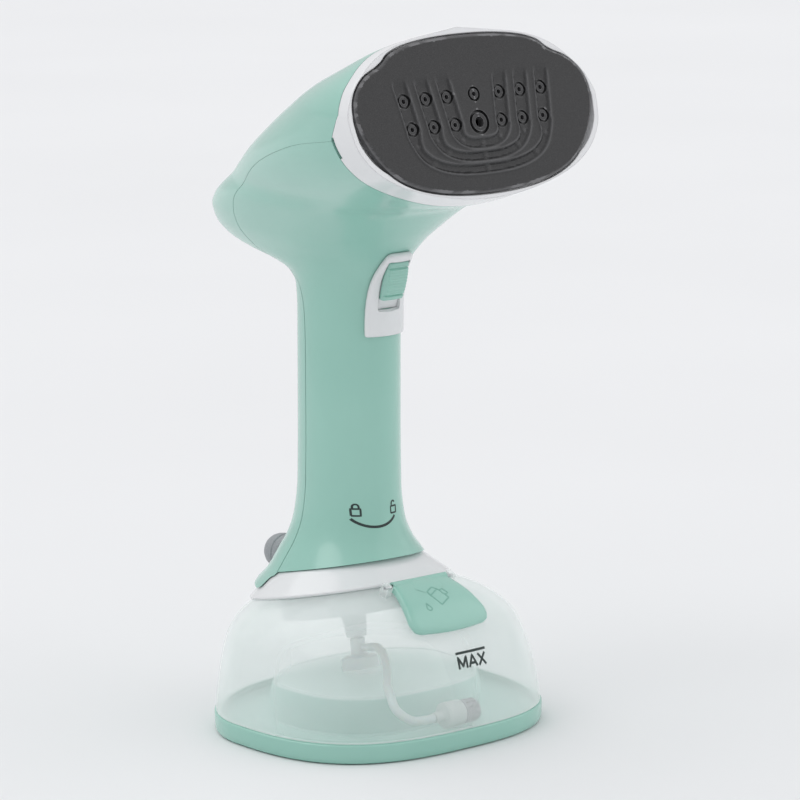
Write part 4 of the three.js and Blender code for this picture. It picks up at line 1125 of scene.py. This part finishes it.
# --- Printed and moulded marks --------------------------------------------------------------------
# Pad-printed dark ink: a closed and an open padlock joined by an arc on the grip, and the fill
# line on the tank. The filler flap has a moulded outline of a measuring cup. All are thin films.
# The ink is satin and almost black, with the 0.7 mm grain of its pad.
ink_dark, tree, shader = new_material("pad_print_ink", Roughness=0.45)
drifting_colour(tree, shader, "#1C2A28", "#2C3C39", 1500.0)

# The cup's lines are the flap's own ABS, left duller by a spark-eroded tool; their darker colour
# is painted shade of the moulded lines.
cap_mark, tree, shader = new_material("mint_moulded_mark", Roughness=0.4)
drifting_colour(tree, shader, "#6FA697", "#7AB0A1", 900.0)


def arc(centre, radius, start, end, steps=12):
    """Points along part of a circle, in degrees; the radius may be a pair for an ellipse."""
    rx, ry = radius if isinstance(radius, tuple) else (radius, radius)
    angles = [math.radians(start + (end - start) * i / steps) for i in range(steps + 1)]
    return [(centre[0] + rx * math.cos(a), centre[1] + ry * math.sin(a)) for a in angles]


film_thickness, film_top, stroke_step = 0.04 * MM, 0.06 * MM, 0.5


def stroke(name, lines, width, target, place, away, material, body, slot):
    """Ribbons of ink: each line of (x, y) millimetres is laid on the target's surface."""
    points, faces = [], []
    for line in lines:
        dense = []
        for (ax, ay), (bx, by) in zip(line, line[1:]):
            count = max(round(math.hypot(bx - ax, by - ay) / stroke_step), 1)
            dense += [(ax + (bx - ax) * i / count, ay + (by - ay) * i / count)
                      for i in range(count)]
        dense.append(line[-1])
        for i, (x, y) in enumerate(dense):
            before, after = dense[max(i - 1, 0)], dense[min(i + 1, len(dense) - 1)]
            along = Vector((after[0] - before[0], after[1] - before[1])).normalized()
            for side in (-0.5, 0.5):
                flat = (x - side * width * along.y, y + side * width * along.x)
                points.append(lay_on(
                    target, place @ Vector((flat[0] * MM, flat[1] * MM, 0)), away, film_top
                ))
            if i:
                last = len(points)
                faces.append((last - 4, last - 2, last - 1, last - 3))
    made = bpy.data.objects.new(name, bpy.data.meshes.new(name))
    made.data.from_pydata(points, [], faces)
    bpy.context.collection.objects.link(made)
    select_only(made)
    push_all(-film_thickness * away)
    finish_piece(made, material, body, slot)


# The grip's marks face the front: x across and y up from the middle of the grip's foot.
grip_marks = Matrix(((1, 0, 0, 0), (0, 0, 1, 0), (0, 1, 0, 0.0848), (0, 0, 0, 1)))
front_way = Vector((0, -1, 0))
padlock = [(-1.5, -2.3), (1.5, -2.3), (1.5, 0.5), (-1.5, 0.5), (-1.5, -2.3)]
shackle = [(-1.0, 0.5), (-1.0, 1.3), *arc((0, 1.3), (1.0, 1.1), 180, 0, 8), (1.0, 0.5)]
closed_lock = [[(x - 12.4, y + 5.8) for x, y in line] for line in (padlock, shackle)]
open_shackle = [(-1.0, 0.9), (-1.0, 1.6), *arc((-0.1, 1.6), (0.9, 1.0), 180, 20, 8)]
open_lock = [[(x + 3.4, y + 5.8) for x, y in line] for line in (padlock, open_shackle)]
turn_arc = [arc((-5.2, 5.0), (10.0, 6.2), 206, 335, 24)]
stroke("lock_marks", closed_lock + open_lock, 0.68, front_shell, grip_marks, front_way,
       ink_dark, "handle", "mint_shell")
stroke("turn_mark", turn_arc, 1.05, front_shell, grip_marks, front_way,
       ink_dark, "handle", "mint_shell")

# The fill line and its three letters, to the right of the flap.
letter_m = [(0, 0), (0, 4.6), (2.1, 0.8), (4.2, 4.6), (4.2, 0)]
letter_a = [(5.4, 0), (7.5, 4.6), (9.6, 0)]
letter_a_bar = [(6.2, 1.5), (8.8, 1.5)]
letter_x = [(10.6, 4.6), (14.4, 0)]
letter_x_bar = [(10.6, 0), (14.4, 4.6)]
fill_line = [(-0.8, 6.1), (15.2, 6.1)]
level_marks = Matrix(((1, 0, 0, -0.0002), (0, 0, 1, -0.03), (0, 1, 0, 0.0322), (0, 0, 0, 1)))
stroke("fill_line", [letter_m, letter_a, letter_a_bar, letter_x, letter_x_bar, fill_line], 1.0,
       tank_shell, level_marks, front_way, ink_dark, "tank", "clear_tank")

# The cup: a tilted box with a lid line and a drop of water beside it.
tilt = math.radians(28)
cup_lines = [
    [(-3.2, -3.6), (3.0, -3.6), (3.8, 2.4), (-2.4, 2.4), (-3.2, -3.6)],
    [(-2.4, 2.4), (-1.2, 4.6), (3.0, 4.6), (3.8, 2.4)],
    [(4.0, 1.2), (5.8, 1.0), (5.4, -2.0), (3.6, -1.8)],
]
cup = [[(x * math.cos(tilt) - y * math.sin(tilt), x * math.sin(tilt) + y * math.cos(tilt) - 12.5)
        for x, y in line] for line in cup_lines]
drop = [(-8.0, -15.0), (-9.1, -17.2), *arc((-8.0, -17.6), 1.1, 170, 370, 8), (-8.0, -15.0)]
stroke("cup_mark", [*cup, drop], 0.5, fill_cap, cap_frame, cap_away, cap_mark, "cap", "mint_shell")

# --- Plug of the handle ---------------------------------------------------------------------------
# A white moulded plug screwed to the shells' foot. Its three lugs turn into the collar, its drop
# tube sits over the suction column, and its flange rests inside the rim.
spigot_radius, spigot_wall, spigot_foot = 24.6 * MM, 2.2 * MM, -8.5 * MM
flange_low = collar_height + shell_wall + gap
drop_tube_end = on_axis(plateau_rise) + 13.2 * MM
spigot = turned("handle_plug", [
    (3.1 * MM, drop_tube_end), (4.1 * MM, drop_tube_end), (4.3 * MM, drop_tube_end + 0.3 * MM),
    (5.6 * MM, spigot_foot), (spigot_radius - 0.8 * MM, spigot_foot),
    (spigot_radius - 0.2 * MM, spigot_foot + 0.3 * MM), (spigot_radius, spigot_foot + 1 * MM),
    (spigot_radius, flange_low), (spigot_radius + 0.9 * MM, flange_low),
    (spigot_radius + 0.9 * MM, flange_low + 1.2 * MM),
    (spigot_radius - spigot_wall, flange_low + 1.2 * MM),
    (spigot_radius - spigot_wall, spigot_foot + 2 * MM), (3.2 * MM, spigot_foot + 2 * MM),
    (3.2 * MM, -2 * MM), (1.6 * MM, -2 * MM), (1.6 * MM, spigot_foot + 1 * MM),
    (3.1 * MM, spigot_foot),
], 96, collar_frame)
for start in lug_starts:
    lug = cutter_prism("lug", sector(28.6 * MM, start, lug_angle), pocket_floor + 0.6 * MM,
                       collar_height - 1 * MM, collar_frame)
    combine(lug, round_bar("lug_root", spigot_radius - 1 * MM, -0.02, 0.02, 96, collar_frame))
    combine(spigot, lug, "UNION")
finish_piece(spigot, white_abs, "handle", "white_plastic", "spigot", degrees=30)

# --- Suction parts --------------------------------------------------------------------------------
# A milky polypropylene column stands in the floor's well. A limp silicone hose runs from its
# elbow over the raised floor down to a weighted filter, so that it finds the last of the water.
# The polypropylene lets a little light in and is clouded over about 17 mm.
milky_polypropylene, tree, shader = new_material(
    "milky_polypropylene", Roughness=0.35, IOR=1.49, Subsurface_Weight=0.15,
)
drifting_colour(tree, shader, "#D9E1E0", "#E9EFEE", 60.0)

column_foot, column_step = well_floor + gap, on_axis(plateau_rise) + 5 * MM
column = turned("suction_pipe", [
    (0, column_foot), (7.7 * MM, column_foot), (7.7 * MM, column_step - 0.5 * MM),
    (7.2 * MM, column_step), (3.7 * MM, column_step + 0.6 * MM), (3.2 * MM, column_step + 1.4 * MM),
    (3.2 * MM, drop_tube_end - 1 * MM), (2.4 * MM, drop_tube_end - 0.5 * MM),
    (2.4 * MM, -14 * MM), (0, -14 * MM),
], 64, collar_frame)
finish_piece(column, milky_polypropylene, "tank", "clear_pipe", "suction_column")

elbow_frame = (collar_frame @ Matrix.Translation((0, -3.5 * MM, column_step + 3.4 * MM))
               @ Matrix.Rotation(math.radians(90), 4, "X"))
elbow = turned("suction_stub", [
    (0, 0), (1.5 * MM, 0), (1.5 * MM, 2.6 * MM), (1.75 * MM, 2.7 * MM), (1.75 * MM, 3.6 * MM),
    (1.45 * MM, 4.9 * MM), (1.3 * MM, 5 * MM), (0, 5 * MM),
], 40, elbow_frame)
finish_piece(elbow, milky_polypropylene, "tank", "clear_pipe", "suction_elbow")

hose_diameter = 3.6 * MM
hose_route = [
    (0, -14.3, 30.1), (0, -18.5, 30.6), (-1.5, -24, 28.8), (-5, -30, 25.2), (-10.5, -37, 22.8),
    (-15.5, -43, 22.6), (-20, -50, 21.6), (-22, -56, 16.5), (-17.5, -60, 12), (-11, -60.6, 10.9),
    (-6, -60.6, 10.9),
]
hose_line = rounded_line([tuple(v * MM for v in p) for p in hose_route], 5)
hose_length = sum((Vector(b) - Vector(a)).length for a, b in zip(hose_line, hose_line[1:]))


def round_wire(name, line, diameter, roundness):
    """A curve with a round section and closed ends along a line of points."""
    curve = bpy.data.curves.new(name, "CURVE")
    curve.dimensions = "3D"
    curve.bevel_depth = diameter / 2
    curve.bevel_resolution = roundness
    curve.use_fill_caps = True
    spline = curve.splines.new("POLY")
    spline.points.add(len(line) - 1)
    for point, spot in zip(spline.points, line):
        point.co = (*spot, 1)
    made = bpy.data.objects.new(name, curve)
    bpy.context.collection.objects.link(made)
    return made


hose = round_wire("suction_tube", hose_line, hose_diameter, 6)

# Extruded silicone tube: soft and slightly milky, clouded over about 6 mm.
silicone_rubber, tree, shader = new_material(
    "translucent_silicone", Roughness=0.45, IOR=1.41, Subsurface_Weight=0.2,
)
drifting_colour(tree, shader, "#CFD8D5", "#DEE5E3", 160.0)
hose.data.materials.append(silicone_rubber)
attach(hose, "tank")
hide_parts("suction_hose")

# The filter: a pale grey weighted body with a stub for the hose, and a darker slotted end.
weight_low, weight_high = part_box("filter_weight")
filter_radius = (weight_high.z - weight_low.z) / 2
filter_frame = Matrix.Translation(
    (weight_low.x, (weight_low.y + weight_high.y) / 2, (weight_low.z + weight_high.z) / 2)
) @ Matrix.Rotation(math.radians(90), 4, "Y")
join = weight_high.x - weight_low.x
weight = turned("filter_body", [
    (0, 0), (2.0 * MM, 0), (2.2 * MM, 0.3 * MM), (2.2 * MM, 4.2 * MM), (2.6 * MM, 4.5 * MM),
    (filter_radius - 0.7 * MM, 4.7 * MM), (filter_radius, 5.5 * MM),
    (filter_radius, join - 0.5 * MM), (filter_radius - 0.4 * MM, join), (0, join),
], 64, filter_frame)
# Moulded polypropylene: satin, evenly pale grey, clouded over about 8 mm.
pale_polypropylene, tree, shader = new_material("pale_grey_polypropylene", Roughness=0.4)
drifting_colour(tree, shader, "#C2CCC9", "#D2DAD7", 120.0)
finish_piece(weight, pale_polypropylene, "tank", "filter_grey", "filter_weight")

screen_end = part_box("filter_screen")[1].x - weight_low.x
screen = turned("filter_mesh", [
    (0, join + gap), (filter_radius - 0.9 * MM, join + gap),
    (filter_radius - 0.5 * MM, join + gap + 0.4 * MM),
    (filter_radius - 0.5 * MM, screen_end - 1.5 * MM), (filter_radius - 1.1 * MM, screen_end - 0.5 * MM),
    (filter_radius - 2 * MM, screen_end), (0, screen_end),
], 64, filter_frame)
slot_count = 12
for i in range(slot_count):
    turn = Matrix.Rotation(2 * math.pi * i / slot_count, 4, "Z")
    place_slot = filter_frame @ turn @ Matrix.Translation((filter_radius - 0.5 * MM, 0, 0))
    combine(screen, cutter_prism(
        "filter_slot", box_outline(1.0 * MM, 0.5 * MM, 0, 0.2 * MM),
        join + 1.6 * MM, screen_end - 2 * MM, place_slot,
    ))
# Matt grey polymer from a spark-eroded tool, which leaves a grain of about 0.7 mm.
grey_polymer, tree, shader = new_material("matt_grey_polymer", Roughness=0.5, IOR=1.5)
_, spark, _ = drifting_colour(tree, shader, "#7E8185", "#ABAFB2", 1400.0)
bump = add_node(tree, "ShaderNodeBump", {"Height": spark, "Strength": 0.12, "Distance": 0.0002})
tree.links.new(bump.outputs["Normal"], shader.inputs["Normal"])
finish_piece(screen, grey_polymer, "tank", "grey_gland", "filter_screen")
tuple(hose_line[0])

# --- Cord outlet ----------------------------------------------------------------------------------
# A moulded grey polymer ball that turns in the rear shell, so that the cord doesn't twist. It has
# a groove round its waist, a recess for the cord, and a neck that snaps into the shell's bore.
swivel_place = Matrix.Translation((0, 0, swivel_axis)) @ rearward
r = swivel_radius
swivel = turned("cord_outlet", [
    (0, swivel_seat - 3.2 * MM), (4.2 * MM, swivel_seat - 3.2 * MM),
    (4.2 * MM, swivel_seat - 1.6 * MM), (6.4 * MM, swivel_seat - 1.2 * MM),
    (r * 0.93, swivel_seat), (r, swivel_seat + 1.4 * MM), (r, swivel_seat + 4.2 * MM),
    (r * 0.95, swivel_seat + 4.6 * MM), (r * 0.95, swivel_seat + 5.2 * MM),
    (r, swivel_seat + 5.6 * MM), (r * 0.99, swivel_seat + 7.2 * MM),
    (r * 0.95, swivel_seat + 9.0 * MM), (r * 0.88, swivel_seat + 10.6 * MM),
    (r * 0.77, swivel_seat + 12.0 * MM), (r * 0.62, swivel_seat + 12.9 * MM),
    (r * 0.52, swivel_seat + 13.3 * MM), (3.4 * MM, swivel_seat + 13.3 * MM),
    (3.4 * MM, swivel_seat + 4 * MM), (0, swivel_seat + 4 * MM),
], 96, swivel_place)
finish_piece(swivel, grey_polymer, "swivel", "grey_gland", "cord_swivel")

# --- Fasteners and small metal parts --------------------------------------------------------------
# Four cross-headed stainless screws hold the shells together from the rear, in deep wells. They
# and the pins are turned, which leaves bright metal with fine rings about 0.5 mm apart.
turned_steel, tree, shader = new_material("turned_stainless_steel", Metallic=1.0, Roughness=0.28)
drifting_colour(tree, shader, "#B2B4B6", "#CFD1D3", 1800.0)
for screw in screw_names:
    low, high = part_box(screw)
    head_radius = (high.x - low.x) / 2
    x, z, tip, head_top = (low.x + high.x) / 2, (low.z + high.z) / 2, low.y, high.y
    made = turned(screw + "_turned", [
        (0, tip), (0.5 * MM, tip + 0.1 * MM), (1.4 * MM, tip + 1.6 * MM),
        (1.4 * MM, head_top - 2.1 * MM), (head_radius, head_top - 2.1 * MM),
        (head_radius, head_top - 0.9 * MM), (head_radius * 0.85, head_top - 0.25 * MM),
        (head_radius * 0.5, head_top), (0, head_top),
    ], 40, Matrix.Translation((x, 0, z)) @ rearward)
    for turn in (0, 90):
        cross = Matrix.Translation((x, 0, z)) @ rearward @ Matrix.Rotation(math.radians(turn), 4, "Z")
        combine(made, cutter_prism("cross_slot", box_outline(1.5 * MM, 0.35 * MM, 0, 0.1 * MM),
                                   head_top - 1.4 * MM, head_top + 1 * MM, cross))
    finish_piece(made, turned_steel, "handle", "stainless_steel", screw)

# --- Inner works ----------------------------------------------------------------------------------
# Behind the shells: the boiler under the plate, the pump in the grip, and the board in the head.
# They are seen only when the steamer is opened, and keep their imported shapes.


def coat(material, *names):
    """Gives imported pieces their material."""
    for name in names:
        slots = nodes[name].material_slots
        if not slots:
            nodes[name].data.materials.append(material)
        for slot_here in slots:
            slot_here.material = material


def plain_finish(name, dark, light, scale, **shader_values):
    """A material with a drifting colour and a grain of the same size."""
    material, tree, shader = new_material(name, **shader_values)
    _, drift, _ = drifting_colour(tree, shader, dark, light, scale, 3.0)
    bump = add_node(tree, "ShaderNodeBump", {"Height": drift, "Strength": 0.1, "Distance": 0.0003})
    tree.links.new(bump.outputs["Normal"], shader.inputs["Normal"])
    return material


# Die-cast aluminium: dull bright metal, its grain about 2.4 mm.
cast_aluminium = plain_finish("cast_aluminium", "#A3A5A7", "#C2C4C6", 420.0,
                              Metallic=1.0, Roughness=0.5)
# Moulded nitrile rubber: matt and nearly black.
black_rubber = plain_finish("nitrile_rubber", "#2A2B2D", "#38393B", 700.0, Roughness=0.75)
# Glass-filled nylon: black, with the short fibres just under its skin.
glass_nylon = plain_finish("glass_filled_nylon", "#232427", "#33353A", 900.0, Roughness=0.55)
# Enamelled copper wire: warm and bright, turns about 0.8 mm apart.
enamelled_copper = plain_finish("enamelled_copper_wire", "#9A5428", "#BD7440", 1200.0,
                                Metallic=1.0, Roughness=0.35)
# Solder mask on glass epoxy: glossy green.
solder_mask = plain_finish("green_solder_mask", "#1E5A38", "#27694A", 350.0, Roughness=0.3)
# The element's steel sheath: brown-grey metal, tinted by heat over about 3 mm.
element_sheath = plain_finish("heat_tinted_sheath", "#6E6660", "#8D857C", 300.0,
                              Metallic=1.0, Roughness=0.4)
coat(cast_aluminium, "steam_chamber", "chamber_cover", "boiler_inlet")
coat(element_sheath, "heating_element")
coat(turned_steel, "terminal_left", "terminal_right", "cap_hinge_pin", "pump_piston")
coat(glass_nylon, "thermostat", "pump_body", "micro_switch")
coat(black_rubber, "neck_seal", "pump_mount_lower", "pump_mount_upper")
coat(silicone_rubber, "plate_gasket", "thermal_fuse", "inlet_hose", "outlet_hose", "fill_seal")
coat(enamelled_copper, "pump_coil")
coat(solder_mask, "circuit_board")
coat(grey_polymer, "switch_carrier")

# --- Pump spring ----------------------------------------------------------------------------------
# A compression spring of stainless wire, coiled in five turns. It stands in the pump between its
# seat and the piston.
spring_low, spring_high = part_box("pump_spring")
wire_diameter, coil_radius, coil_turns, steps_in_turn = 1.0 * MM, 3.5 * MM, 5, 32
coil_steps = coil_turns * steps_in_turn
coil_foot, coil_top = spring_low.z + wire_diameter / 2, spring_high.z - wire_diameter / 2
coil_line = []
for i in range(coil_steps + 1):
    angle = 2 * math.pi * i / steps_in_turn
    coil_line.append((coil_radius * math.cos(angle), coil_radius * math.sin(angle),
                      coil_foot + (coil_top - coil_foot) * i / coil_steps))
spring = round_wire("piston_spring", coil_line, wire_diameter, 3)
select_only(spring)
bpy.ops.object.convert(target="MESH")
finish_piece(spring, turned_steel, "handle", "stainless_steel", "pump_spring")
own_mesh(spring)

# The construction solids that other pieces were cut from aren't part of the object.
for helper in (body_skin, body_core, tank_skin):
    bpy.data.objects.remove(helper)
